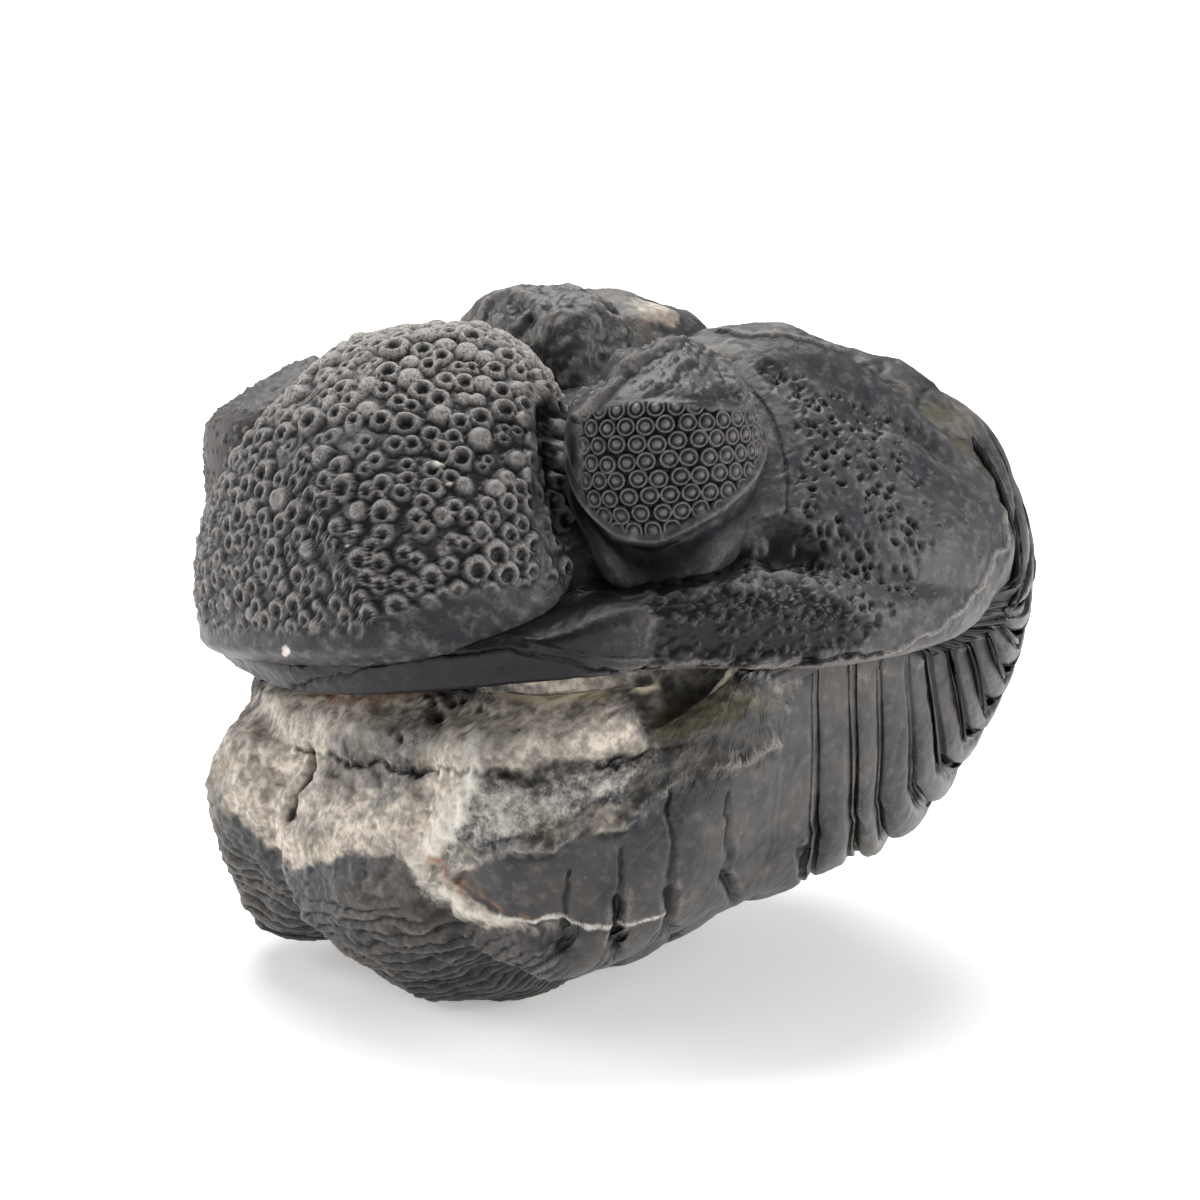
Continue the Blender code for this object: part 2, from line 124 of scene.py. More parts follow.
def scatter(cells: Array, seed: int) -> Array:
    """A fixed random value from 0 to 1 for every whole-number cell (..., 3)."""
    x, y, z = (cells[..., k] & 255 for k in range(3))
    first = SHUFFLE[(x + seed * 37) & 255]
    return SHUFFLE[(SHUFFLE[(first + y) & 255] + z) & 255] / 255.0


def billow(points: Array, size: float, seed: int) -> Array:
    """Smooth random field from -1 to 1: corner values of a cubic lattice, eased across each cell."""
    place = points / size + 100.0
    base = np.floor(place).astype(np.int64)
    s = place - base
    s = s * s * (3 - 2 * s)
    total = np.zeros(points.shape[:-1])
    for corner in itertools.product((0, 1), repeat=3):
        weight = np.prod(np.where(corner, s, 1 - s), axis=-1)
        total += weight * scatter(base + np.array(corner), seed)
    return total * 2 - 1


def rough(points: Array, size: float, octaves: int, seed: int, keep: float = 0.55) -> Array:
    """Sum of `octaves` random fields, each half the size of the last and `keep` times its height."""
    total, height = np.zeros(points.shape[:-1]), 1.0
    for k in range(octaves):
        total += height * billow(points, size / 2 ** k, seed + k)
        height *= keep
    return total


def pocks(points: Array, size: float, seed: int) -> tuple[Array, Array]:
    """Distance to the nearest of the random points that sit one to a cell, and that point's lot.

    Args:
        points: where the field is read, in millimetres.
        size: width of a cell.
        seed: chooses the random points.

    Returns:
        The distance as a share of `size`, and a random value from 0 to 1 that the pock keeps.
    """
    place = points / size + 100.0
    base = np.floor(place).astype(np.int64)
    nearest = np.full(points.shape[:-1], 9.0)
    lot = np.zeros_like(nearest)
    for step in itertools.product((-1, 0, 1), repeat=3):
        cell = base + np.array(step)
        seat = np.stack([scatter(cell, seed + k) for k in range(3)], -1)
        away = np.linalg.norm(cell + seat - place, axis=-1)
        closer = away < nearest
        nearest = np.where(closer, away, nearest)
        lot = np.where(closer, scatter(cell, seed + 5), lot)
    return nearest, lot


def soften(values: Array, reach: int) -> Array:
    """Mean over a square of grid cells `reach` to each side, twice over, with the edges held."""
    for _ in range(2):
        for axis in (0, 1):
            wide = [(0, 0)] * values.ndim
            wide[axis] = (reach + 1, reach)
            total = np.cumsum(np.pad(values, wide, mode="edge"), axis=axis)
            count = values.shape[axis]
            high = np.take(total, np.arange(count) + 2 * reach + 1, axis=axis)
            low = np.take(total, np.arange(count), axis=axis)
            values = (high - low) / (2 * reach + 1)
    return values


def nearest_two(points: Array, seats: Array) -> tuple[Array, Array, Array]:
    """Distance from each point to its nearest and second nearest seat, and the nearest one's number."""
    flat = points.reshape(-1, points.shape[-1])
    first, second, number = [], [], []
    for part in np.array_split(flat, max(1, len(flat) * len(seats) // 4_000_000)):
        square = (part ** 2).sum(-1)[:, None] + (seats ** 2).sum(-1) - 2 * part @ seats.T
        closest = square.argmin(axis=1)
        rows = np.arange(len(part))
        first.append(square[rows, closest].copy())
        square[rows, closest] = np.inf
        second.append(square.min(axis=1))
        number.append(closest)
    shape = points.shape[:-1]
    near, next_near = (np.sqrt(np.maximum(np.concatenate(d), 0)).reshape(shape) for d in (first, second))
    return near, next_near, np.concatenate(number).reshape(shape)


@dataclass(frozen=True)
class Attitude:
    """How the animal's own frame stands in the row frame."""

    nose_up_deg: float = 2.05
    lean_right_deg: float = 7.15
    place: tuple = (0.0924, 1.2600, 20.2734)

    def turn(self) -> Array:
        """Turn of the animal's frame, as a 3 by 3 matrix."""
        lean = Vector((math.radians(-self.nose_up_deg), math.radians(-self.lean_right_deg), 0))
        return np.array(Matrix.Rotation(lean.length, 3, lean.normalized()))

    def stand(self, points: Array) -> Array:
        """Points of the animal's frame in the row frame, both in millimetres."""
        return points @ self.turn().T + np.array(self.place)


@dataclass(frozen=True)
class Viewpoint:
    """The photograph's viewpoint: it looks at the animal's left front from a little above."""

    attitude: Attitude
    azimuth_deg: float = 45.0
    elevation_deg: float = 12.0
    distance: float = 200.0
    pixels_per_mm: float = 16.5
    frame_pixels: float = 1200.0
    middle_pixel: Pixel = (612.0, 609.0)
    sensor: float = 36.0

    def axes(self) -> tuple[Array, Array, Array]:
        """Unit vectors to the right and up in the picture, and back towards the eye."""
        turn, lift = math.radians(self.azimuth_deg), math.radians(self.elevation_deg)
        back = np.array([math.sin(turn) * math.cos(lift), -math.cos(turn) * math.cos(lift), math.sin(lift)])
        right = np.array([math.cos(turn), math.sin(turn), 0.0])
        return right, np.cross(back, right), back

    def pixels(self, points: Array) -> tuple[Array, Array]:
        """Where points of the row frame, in millimetres, lie in the photograph's 1200-pixel frame."""
        right, up, back = self.axes()
        points = points - np.array(self.attitude.place)
        scale = self.pixels_per_mm * self.distance / (self.distance - points @ back)
        return self.middle_pixel[0] + scale * (points @ right), self.middle_pixel[1] - scale * (points @ up)

    def camera(self) -> bpy.types.Object:
        """The camera that sees the fossil as the photograph does."""
        right, up, back = self.axes()
        data = bpy.data.cameras.new("camera")
        data.sensor_width = self.sensor
        data.lens = self.pixels_per_mm * self.distance * self.sensor / self.frame_pixels
        data.shift_x = 0.5 - self.middle_pixel[0] / self.frame_pixels
        data.shift_y = self.middle_pixel[1] / self.frame_pixels - 0.5
        data.clip_start = 0.01
        made = bpy.data.objects.new("camera", data)
        made.location = (np.array(self.attitude.place) + back * self.distance) * MM
        made.rotation_mode = "QUATERNION"
        made.rotation_quaternion = (-Vector(back)).to_track_quat("-Z", "Y")
        bpy.context.collection.objects.link(made)
        bpy.context.scene.camera = made
        return made


@dataclass
class Seen:
    """Where the points of a patch lie in the photograph, and how squarely they face it.

    Marks that the photograph shows at a known place are laid out here in its pixels, and they fade
    where the surface turns away.  Only the right cheek takes its hidden places from its mirror image.
    """

    u: Array
    v: Array
    facing: Array

    def ragged(self, points: Array, reach: float, size: float, seed: int) -> "Seen":
        """The same view with its places shifted by noise, so that outlines come out uneven."""
        across, down = rough(points, size, 4, seed), rough(points, size, 4, seed + 50)
        return replace(self, u=self.u + reach * across, v=self.v + reach * down)

    def away(self, path: tuple) -> tuple[Array, Array]:
        """Distance in pixels to a path of straight spans, and the share of the way along it."""
        path = np.array(path, float)
        nearest, along = np.full(self.u.shape, 1e9), np.zeros(self.u.shape)
        spans = np.diff(path, axis=0)
        lengths = np.hypot(spans[:, 0], spans[:, 1])
        starts = np.concatenate([[0], np.cumsum(lengths)])
        for (x, y), (dx, dy), length, start in zip(path, spans, lengths, starts):
            s = np.clip(((self.u - x) * dx + (self.v - y) * dy) / length ** 2, 0, 1)
            gap = np.hypot(self.u - x - s * dx, self.v - y - s * dy)
            closer = gap < nearest
            nearest = np.where(closer, gap, nearest)
            along = np.where(closer, (start + s * length) / starts[-1], along)
        return nearest, along

    def stroke(self, path: tuple, *widths: float) -> Array:
        """A line along `path`, 1 in its middle, whose half-width runs evenly through `widths`."""
        gap, along = self.away(path)
        width = np.interp(along, np.linspace(0, 1, len(widths)), widths) if len(widths) > 1 else widths[0]
        return hump(gap, 0, width) * self.facing

    def inside(self, outline: tuple, soft: float) -> Array:
        """1 inside the closed `outline` and 0 outside, over an edge `soft` pixels to each side."""
        closed = [*outline, outline[0]]
        gap, _ = self.away(tuple(closed))
        within = np.zeros(self.u.shape, bool)
        for (x0, y0), (x1, y1) in zip(closed, closed[1:]):
            if y0 != y1:
                crosses = (y0 > self.v) != (y1 > self.v)
                within ^= crosses & (self.u < (x1 - x0) * (self.v - y0) / (y1 - y0) + x0)
        return rise(-soft, soft, np.where(within, gap, -gap)) * self.facing

    def spot(self, middle: Pixel, wide: float, tall: float, turn_deg: float = 0.0) -> Array:
        """A soft oval, 1 at its middle."""
        turn = math.radians(turn_deg)
        x, y = self.u - middle[0], self.v - middle[1]
        across = (x * math.cos(turn) + y * math.sin(turn)) / wide
        down = (y * math.cos(turn) - x * math.sin(turn)) / tall
        return hump(np.hypot(across, down), 0, 1) * self.facing


@dataclass
class Patch:
    """A grid of points of the row frame, in millimetres, that will be the outer face of a piece.

    The core is a point inside the stone.  The patch's edge is closed by a fan to it.
    """

    points: Array
    core: Array
    ring: bool = False
    marks: dict = field(default_factory=dict)

    def normals(self) -> Array:
        """Unit normals away from the core: the cross product of the steps along rows and columns."""
        points = np.concatenate([self.points[:, -2:-1], self.points, self.points[:, 1:2]], 1)
        along = np.gradient(points if self.ring else self.points, axis=0)
        across = np.gradient(points if self.ring else self.points, axis=1)
        found = np.cross(along, across)
        found = found[:, 1:-1] if self.ring else found
        found /= np.linalg.norm(found, axis=-1, keepdims=True) + 1e-12
        outward = ((self.points - self.core) * found).sum(-1).mean()
        return found if outward > 0 else -found

    def raise_by(self, height: Array) -> None:
        """Move every point along its normal by `height` millimetres."""
        self.points = self.points + self.normals() * height[..., None]

    def standing(self, reach: int) -> Array:
        """How far each point stands proud of its surroundings, in millimetres; hollows are negative."""
        return ((self.points - soften(self.points, reach)) * self.normals()).sum(-1)

    def seen(self, view: Viewpoint) -> Seen:
        """The patch in the photograph's frame."""
        u, v = view.pixels(self.points)
        return Seen(u, v, rise(0.02, 0.30, self.squarely(view)))

    def squarely(self, view: Viewpoint) -> Array:
        """Cosine of the angle between the normals and the way to the camera."""
        return soften(self.normals() @ view.axes()[2], 3)

    def seen_or_mirrored(self, mirror: "Patch", view: Viewpoint) -> Seen:
        """The patch in the photograph's frame, and its mirror image's places where the camera can't see it.

        Args:
            mirror: The same patch on the animal's other side, point for point.
            view: The photograph's viewpoint.
        """
        own, other, squarely = self.seen(view), mirror.seen(view), self.squarely(view)
        hidden = squarely < 0
        return Seen(np.where(hidden, other.u, own.u), np.where(hidden, other.v, own.v),
                    np.where(hidden, other.facing * rise(0, -.25, squarely), own.facing))

    def add(self, mark: Mark, amount: Array) -> None:
        """Lay `amount` of a mark over what is there, as one wash over another."""
        old = self.marks.get(mark, np.zeros(self.points.shape[:2]))
        self.marks[mark] = 1 - (1 - old) * (1 - np.clip(amount, 0, 1))

    def clear(self, mark: Mark, amount: Array) -> None:
        """Take a share of a mark away."""
        if mark in self.marks:
            self.marks[mark] = self.marks[mark] * (1 - np.clip(amount, 0, 1))

    def brighten_edges_and_shade_hollows(self, edge: float = 0.10, hollow: float = 0.10, dust_and_highlight: float = 0.5) -> None:
        """Lighten the raised edges, as dusting mixed with painted highlight, and paint shade into the hollows, both at
        two sizes of relief.
        """
        fine, broad = self.standing(3), self.standing(9)
        self.add(Mark.DUST_AND_HIGHLIGHT, dust_and_highlight * rise(edge * 0.25, edge, fine))
        self.add(Mark.DUST_AND_HIGHLIGHT, 0.4 * dust_and_highlight * rise(edge * 0.8, edge * 4, broad))
        self.add(Mark.SHADE, 0.95 * rise(-hollow * 0.10, -hollow * 0.8, fine))
        self.add(Mark.SHADE, 0.85 * rise(-hollow * 0.6, -hollow * 3, broad))

    def crop(self, before: int, after: int) -> None:
        """Drop rows at both ends, which were only there so that the relief matches the next piece's."""
        rows = slice(before, self.points.shape[0] - after)
        self.points = self.points[rows]
        self.marks = {mark: amount[rows] for mark, amount in self.marks.items()}

    def faces(self) -> Array:
        """Triangles of the grid and of the fan that closes it, all turned outward."""
        rows, columns = self.points.shape[:2]
        grid = np.arange(rows * columns).reshape(rows, columns)
        if self.ring:
            grid = np.concatenate([grid, grid[:, :1]], 1)
            rims = [grid[0], grid[-1, ::-1]]
        else:
            rims = [np.concatenate([grid[0], grid[1:, -1], grid[-1, -2::-1], grid[-2::-1, 0]])]
        a, b, c, d = grid[:-1, :-1], grid[:-1, 1:], grid[1:, 1:], grid[1:, :-1]
        quads = [np.stack([a, d, c], -1), np.stack([a, c, b], -1)]
        found = [q.reshape(-1, 3) for q in quads]
        for number, rim in enumerate(rims):
            peak = np.full(len(rim) - 1, rows * columns + number)
            found.append(np.stack([rim[:-1], rim[1:], peak], -1))
        return np.concatenate(found)

    def peaks(self) -> Array:
        """The point that each fan runs to: the core, or the middle of each end of a ring."""
        if self.ring:
            return np.stack([self.points[0].mean(axis=0), self.points[-1].mean(axis=0)])
        return np.asarray(self.core, float)[None]

    def piece(self, name: str, finish: "StoneFinish") -> bpy.types.Object:
        """Make the patch a closed mesh object that rides on the frame and stands for its solid."""
        points = np.concatenate([self.points.reshape(-1, 3), self.peaks()])
        points[:, 2] = np.maximum(points[:, 2], 0)
        faces = self.faces()
        one, two, three = (points[faces[:, k]] for k in range(3))
        if np.einsum("ij,ij->i", one, np.cross(two, three)).sum() < 0:
            faces = faces[:, ::-1]
        mesh = bpy.data.meshes.new(name)
        mesh.from_pydata(points * MM, [], np.ascontiguousarray(faces))
        fans = (faces >= self.points.shape[0] * self.points.shape[1]).any(axis=1)
        mesh.polygons.foreach_set("use_smooth", ~fans if not self.ring else np.ones(len(faces), bool))
        for mark in Mark:
            amount = self.marks.get(mark, np.zeros(self.points.shape[:2])).ravel()
            amount = np.concatenate([amount, np.zeros(len(points) - len(amount))])
            layer = mesh.attributes.new(mark.value, "FLOAT", "POINT")
            layer.data.foreach_set("value", amount.astype(np.float32))
        mesh.update()
        made = bpy.data.objects.new(name, mesh)
        bpy.context.collection.objects.link(made)
        made.data.materials.append(finish.material())
        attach(made, "root")
        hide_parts(NODE)
        LOG.info("%s: %d triangles", name, len(faces))
        return made


@dataclass(frozen=True)
class StoneFinish:
    """Calcite and the matrix on it: one shader that mixes its colours by the marks of the vertices."""

    name: str
    dark: Colour = (0.026, 0.027, 0.032)
    body: Colour = (0.050, 0.048, 0.051)
    # Pale colour of the random blotches, of the dusting and of the painted highlight.
    bloom_and_highlight: Colour = (0.235, 0.217, 0.198)
    roughness: float = 0.39
    specular: float = 0.26
    shade_depth: float = 0.97
    blotch: float = 0.35
    grain: float = 0.35
    tan: Colour = (0.610, 0.535, 0.450)
    grey_tan: Colour = (0.300, 0.275, 0.242)
    olive: Colour = (0.085, 0.074, 0.042)
    buff: Colour = (0.390, 0.335, 0.235)
    white: Colour = (0.620, 0.590, 0.530)
    rust: Colour = (0.260, 0.105, 0.035)

    def material(self) -> bpy.types.Material:
        """The finish's material, made once and then shared."""
        made = bpy.data.materials.get(self.name)
        return made or self.build()

    def build(self) -> bpy.types.Material:
        """Lay out the shader's nodes."""
        made = bpy.data.materials.new(self.name)
        made.use_nodes = True
        nodes, links = made.node_tree.nodes, made.node_tree.links
        shader = nodes["Principled BSDF"]
        shader.inputs["Specular IOR Level"].default_value = self.specular
        place = nodes.new("ShaderNodeTexCoord").outputs["Object"]

        def noise(size_mm: float, detail: float = 4.0, rough_share: float = 0.55) -> bpy.types.NodeSocket:
            """Noise on the object's own coordinates with features of `size_mm`."""
            node = nodes.new("ShaderNodeTexNoise")
            node.inputs["Scale"].default_value = 1 / (size_mm * MM)
            node.inputs["Detail"].default_value = detail
            node.inputs["Roughness"].default_value = rough_share
            links.new(place, node.inputs["Vector"])
            return node.outputs["Fac"]

        def ramp(value: bpy.types.NodeSocket, low: float, high: float) -> bpy.types.NodeSocket:
            """Eased step of `value` from 0 at `low` to 1 at `high`."""
            node = nodes.new("ShaderNodeMapRange")
            node.interpolation_type = "SMOOTHSTEP"
            node.inputs["From Min"].default_value, node.inputs["From Max"].default_value = low, high
            links.new(value, node.inputs["Value"])
            return node.outputs["Result"]

        def mix(amount: object, first: object, second: object) -> bpy.types.NodeSocket:
            """Blend of two colours, each a tuple or a socket."""
            node = nodes.new("ShaderNodeMix")
            node.data_type = "RGBA"
            for socket, value in ((node.inputs[0], amount), (node.inputs[6], first), (node.inputs[7], second)):
                if isinstance(value, bpy.types.NodeSocket):
                    links.new(value, socket)
                else:
                    socket.default_value = (*value, 1.0) if isinstance(value, tuple) else value
            return node.outputs[2]

        def maths(operation: str, first: object, second: object) -> bpy.types.NodeSocket:
            """Arithmetic on two numbers, each a float or a socket."""
            node = nodes.new("ShaderNodeMath")
            node.operation = operation
            for socket, value in zip(node.inputs, (first, second)):
                if isinstance(value, bpy.types.NodeSocket):
                    links.new(value, socket)
                else:
                    socket.default_value = value
            return node.outputs[0]

        def mark(kind: Mark) -> bpy.types.NodeSocket:
            """A mark of the vertices."""
            node = nodes.new("ShaderNodeAttribute")
            node.attribute_name = kind.value
            return node.outputs["Fac"]

        fine, mid, broad = noise(0.16, 3), noise(0.7), noise(4.0)
        colour = mix(ramp(broad, 0.35, 0.65), self.dark, self.body)
        colour = mix(maths("MULTIPLY", ramp(mid, 0.45, 0.75), self.blotch), colour, self.bloom_and_highlight)
        matrix = mix(ramp(noise(0.45), 0.35, 0.65), self.grey_tan, self.tan)
        worn = ramp(maths("ADD", mark(Mark.TAN), maths("MULTIPLY", maths("SUBTRACT", mid, 0.5), 0.9)), 0.25, 0.85)
        colour = mix(worn, colour, matrix)
        colour = mix(maths("MULTIPLY", mark(Mark.OLIVE), ramp(mid, 0.25, 0.6)), colour, self.olive)
        colour = mix(mark(Mark.BUFF), colour, self.buff)
        grey = maths("ADD", maths("MULTIPLY", maths("SUBTRACT", fine, 0.5), 0.6),
                     maths("MULTIPLY", maths("SUBTRACT", noise(0.4), 0.5), 0.8))
        speckled = ramp(maths("ADD", mark(Mark.WHITE), grey), 0.12, 1.05)
        colour = mix(speckled, colour, self.white)
        colour = mix(maths("MULTIPLY", mark(Mark.RUST), ramp(mid, 0.2, 0.6)), colour, self.rust)
        # Dusting mixed with painted highlight, in the pale colour and broken by fine noise.
        dust_and_highlight_share = maths("MULTIPLY", mark(Mark.DUST_AND_HIGHLIGHT), ramp(fine, 0.25, 0.6))
        colour = mix(dust_and_highlight_share, colour, self.bloom_and_highlight)
        # Painted shade: the shade mark darkens the colour towards near-black.
        colour = mix(maths("MULTIPLY", mark(Mark.SHADE), self.shade_depth), colour, (0.002, 0.002, 0.004))
        links.new(colour, shader.inputs["Base Color"])
        pale = maths("MAXIMUM", maths("MAXIMUM", worn, speckled), dust_and_highlight_share)
        shine = maths("ADD", self.roughness, maths("MULTIPLY", maths("SUBTRACT", mid, 0.5), 0.3))
        links.new(maths("ADD", shine, maths("MULTIPLY", pale, 0.30)), shader.inputs["Roughness"])
        bump = nodes.new("ShaderNodeBump")
        bump.inputs["Strength"].default_value = self.grain
        bump.inputs["Distance"].default_value = 0.06 * MM
        links.new(maths("ADD", fine, maths("MULTIPLY", mid, 1.5)), bump.inputs["Height"])
        links.new(bump.outputs["Normal"], shader.inputs["Normal"])
        return made


@dataclass(frozen=True)
class Coil:
    """Thorax, tail and matrix: a ring round the X axis, cut into wedges that overlap by a row.

    The grooves are numbered 0 to 11 on the thorax, to 17 on the tail, and to 22 where the ring
    closes inside the head.  Across, 0 is the crest, 0.31 the axial furrow, 0.66 the fulcrum and 1
    the tips.  Angles run from the rear upwards, so -90 degrees is the underside.
    """

    attitude: Attitude
    view: Viewpoint
    middle: Pixel = (0.3, -2.0)
    rearward: Pixel = (24.7, 4.0)
    upward: Pixel = (6.5, 20.7)
    tail_end: float = 17.0
    front_end: float = 19.6
    front_rows: int = 184
    mouth: tuple = (19.75, 20.9)
    mouth_rows: int = 6
    inner_end: float = 22.0
    axial_vault: float = .135
    worn_flat: tuple = (.07, -108, 28)
    tail_corner: tuple = (.05, -152, 26)
    neck: tuple = (.15, 171, 10)
    bar_squareness: float = .6
    bar_level: float = .6
    worn_rib_loss: float = .65
    tail_rib_loss: float = .55
    matrix_fill: float = .10
    closing_depth: float = .12
    tip_lift: float = 1.3
    smooth_rib: float = .06
    grooves: tuple = (0, 1, 2, 4, 6, 8, 10, 11, 13, 15, 17, 19, 21, 22)
    axis_deg: tuple = (96, 82, 68, 41, 13.5, -13.5, -40.5, -54, -78, -102, -128, -180, -235, -264)
    fulcrum_deg: tuple = (84, 65, 46, 15, -10, -32, -55, -70, -94, -118, -142, -190, -250, -276)
    flank_deg: tuple = (62, 34, 14, -14, -33, -50, -70, -82, -105, -128, -152, -200, -272, -298)
    tip_deg: tuple = (24, 8, -4, -22, -40, -57.5, -79, -96, -122, -146, -170, -215, -300, -336)
    across: tuple = (0, .12, .22, .31, .36, .5, .66, .78, .9, 1)
    across_x: tuple = (0, 3.0, 5.4, 7.2, 8.2, 12.0, 16.2, 18.8, 21.0, 22.0)
    across_radius: tuple = (.865, .865, .865, .865, .868, .85, .78, .67, .54, .45)
    across_low: tuple = (.865, .865, .865, .865, .868, .85, .78, .63, .38, .13)
    across_high: tuple = (.865, .865, .865, .865, .868, .85, .80, .72, .56, .40)
    across_vault: tuple = (1, .86, .54, 0, 0, 0, 0, 0, 0, 0)
    across_rib: tuple = (.035, .034, .03, .008, .022, .034, .06, .070, .062, .034)
    slit_seen_low: tuple = (0, 9.6, 10.05, 10.58, 11.55, 13.6, 15.2, 17, 22)
    slit_seen_high: tuple = (0, 9.6, 10.12, 10.84, 12.44, 14.2, 15.6, 17, 22)
    slit_number: tuple = (0, 9.6, 10, 11, 12, 13.5, 15, 17, 22)
    round_deg: tuple = (-180, -165, -150, -140, -123, -105, -90, -75, -60, -45, -30, -10, 5, 30, 60, 90,
                        98, 110, 125, 150, 180)
    round_girth: tuple = (.94, .975, .965, .955, .91, .89, .84, .855, .96, 1.045, 1.05, 1.00, .96, .87,
                          .86, .90, .99, 1.05, 1.0, .95, .94)
    vault_deg: tuple = (-180, -150, -138, -125, -102, -88, -76, -65, -55, -35, 90, 98, 110, 125, 150, 180)
    vault_size: tuple = (.6, .8, .85, 1.2, 1.35, 1.9, 2.2, 1.95, 1.5, 1.1, 1, 1.3, 1.9, 1.6, 1, .6)
    breadth_deg: tuple = (-180, -165, -150, -140, -120, -60, -10, 30, 90, 150, 180)
    breadth: tuple = (.90, .95, .97, .97, .97, 1, 1.02, 1.03, 1.01, 1, .90)
    bar_at: tuple = (0, .045, .09, .13, .175, .23, .32, .50, .70, .85, .94, 1)
    bar_height: tuple = (-.85, -.55, -.04, -.14, -.52, -.02, .30, .42, .38, .18, -.12, -.85)
    seam: tuple = ((296, 745), (330, 752), (357, 758), (387, 765), (417, 766), (440, 771), (462, 762), (480, 768),
                   (505, 770), (530, 772), (552, 763), (580, 766), (612, 764), (645, 752), (690, 744))
    slit: tuple = ((305, 748), (298, 780), (279, 818))
    pits: tuple = ((441, 723, 9), (456, 711, 6), (467, 707, 5), (439, 711, 4), (433, 704, 3), (486, 717, 3),
                   (450, 700, 3), (520, 738, 3), (563, 742, 3), (612, 722, 3), (404, 742, 3))
    buff_patch: tuple = ((492, 701), (520, 693), (550, 688), (580, 690), (605, 695), (614, 708), (594, 712),
                         (550, 710), (513, 706))
    small_buff: tuple = ((629, 702), (636, 688), (655, 687), (658, 692), (640, 701))
    olive_patch: tuple = ((655, 690), (720, 686), (790, 690), (760, 712), (727, 720), (700, 735), (655, 738),
                          (645, 715))
    rust_band: tuple = ((325, 703), (350, 706), (380, 707), (400, 702), (430, 692))
    vein: tuple = ((480, 740), (466, 780), (440, 825), (412, 862), (417, 884), (440, 901), (465, 915), (495, 921))
    vein_tail: tuple = ((495, 921), (531, 925), (560, 921), (587, 931), (612, 929), (640, 920), (668, 912))
    vein_rust: tuple = ((428, 846), (434, 868), (446, 886), (472, 903), (505, 916), (540, 922))
    crystals: tuple = ((487, 775), (560, 770), (650, 762), (610, 795), (560, 822), (500, 850), (450, 868),
                       (437, 862), (455, 820))
    bright_tan: tuple = ((238, 800), (262, 832), (290, 853), (318, 852), (350, 835), (385, 815), (412, 798))
    facet: tuple = ((436, 880), (470, 871), (524, 854), (587, 837), (628, 829), (640, 812), (670, 790), (700, 778),
                    (735, 768), (765, 745), (785, 715), (799, 696), (810, 694), (812, 760), (808, 830), (804, 880),
                    (798, 912), (730, 916), (676, 930), (624, 932), (587, 936), (560, 925), (530, 927), (495, 916),
                    (462, 901))
    facet_edge: tuple = ((436, 878), (470, 869), (524, 852), (587, 835), (628, 827), (640, 810), (670, 788),
                         (700, 776), (735, 766), (770, 740))
    dark_under: tuple = ((190, 820), (238, 822), (290, 868), (345, 856), (400, 858), (420, 900), (480, 932),
                         (560, 940), (640, 940), (720, 935), (700, 1000), (420, 1030), (190, 900))
    facet_grooves: tuple = (((731, 790), (728, 850), (731, 925)), ((676, 796), (671, 860), (670, 945)),
                            ((624, 850), (619, 890), (618, 950)), ((572, 880), (566, 910), (562, 950)))
    matrix_area: tuple = ((250, 690), (400, 684), (560, 676), (800, 676), (799, 696), (785, 715), (765, 745),
                          (735, 768), (640, 812), (587, 837), (524, 854), (436, 880), (300, 850), (230, 800))
    upper_roll: tuple = ((262, 690), (330, 690), (420, 682), (500, 668), (600, 668), (660, 680), (640, 730),
                         (560, 752), (480, 758), (400, 752), (330, 742), (285, 734))
    dim_area: tuple = ((610, 700), (640, 684), (800, 676), (799, 700), (765, 745), (735, 764), (640, 805), (620, 780),
                       (660, 750))
    notches: tuple = (((733, 882), (736, 945)), ((673, 892), (672, 955)), ((803, 850), (808, 920)),
                      ((619, 905), (617, 960)))
    orange_spot: Pixel = (655, 308)
    under_head: tuple = ((285, 712), (340, 722), (420, 715), (520, 722), (600, 720))
    far_edge: tuple = ((690, 318), (733, 324), (790, 326), (860, 338), (920, 366))
    folded: tuple = ((180, 840), (240, 850), (300, 900), (380, 905), (430, 915), (500, 950), (560, 960), (560, 1010),
                     (400, 1010), (180, 920))
    wedges: tuple = (("thorax_crown", 0, 4, 130), ("thorax_back", 4, 8, 140), ("thorax_belly", 8, 12, 160),
                     ("tail_shield", 12, 17, 185), ("nape", 20.8, 22, 50))
    overlap: int = 5
    columns: int = 501

    def angle(self, number: Array, across: Array) -> Array:
        """Angle, in degrees, at which groove `number` stands at `across` of the half-width."""
        axis, fulcrum, flank, tip = (
            flow(self.grooves, t, number) for t in (self.axis_deg, self.fulcrum_deg, self.flank_deg, self.tip_deg)
        )
        middle, outer = np.clip((across - .60) / .22, 0, 1), np.clip((across - .80) / .20, 0, 1)
        return axis + (fulcrum - axis) * rise(.30, .70, across) + (flank - fulcrum) * middle + (tip - flank) * outer

    def bars(self, number: Array, across: Array) -> Array:
        """Profile of the segments: round bands on the axis, and outside it a bar, a fine ridge and a slit."""
        band = np.abs(np.sin(math.pi * number)) ** self.bar_squareness - self.bar_level
        low = np.interp(number, self.slit_seen_low, self.slit_number)
        high = np.interp(number, self.slit_seen_high, self.slit_number)
        place = number + (low - number) * rise(.40, .66, across) + (high - low) * np.clip((across - .68) / .28, 0, 1)
        return band + (flow(self.bar_at, self.bar_height, place % 1) - band) * rise(.26, .40, across)

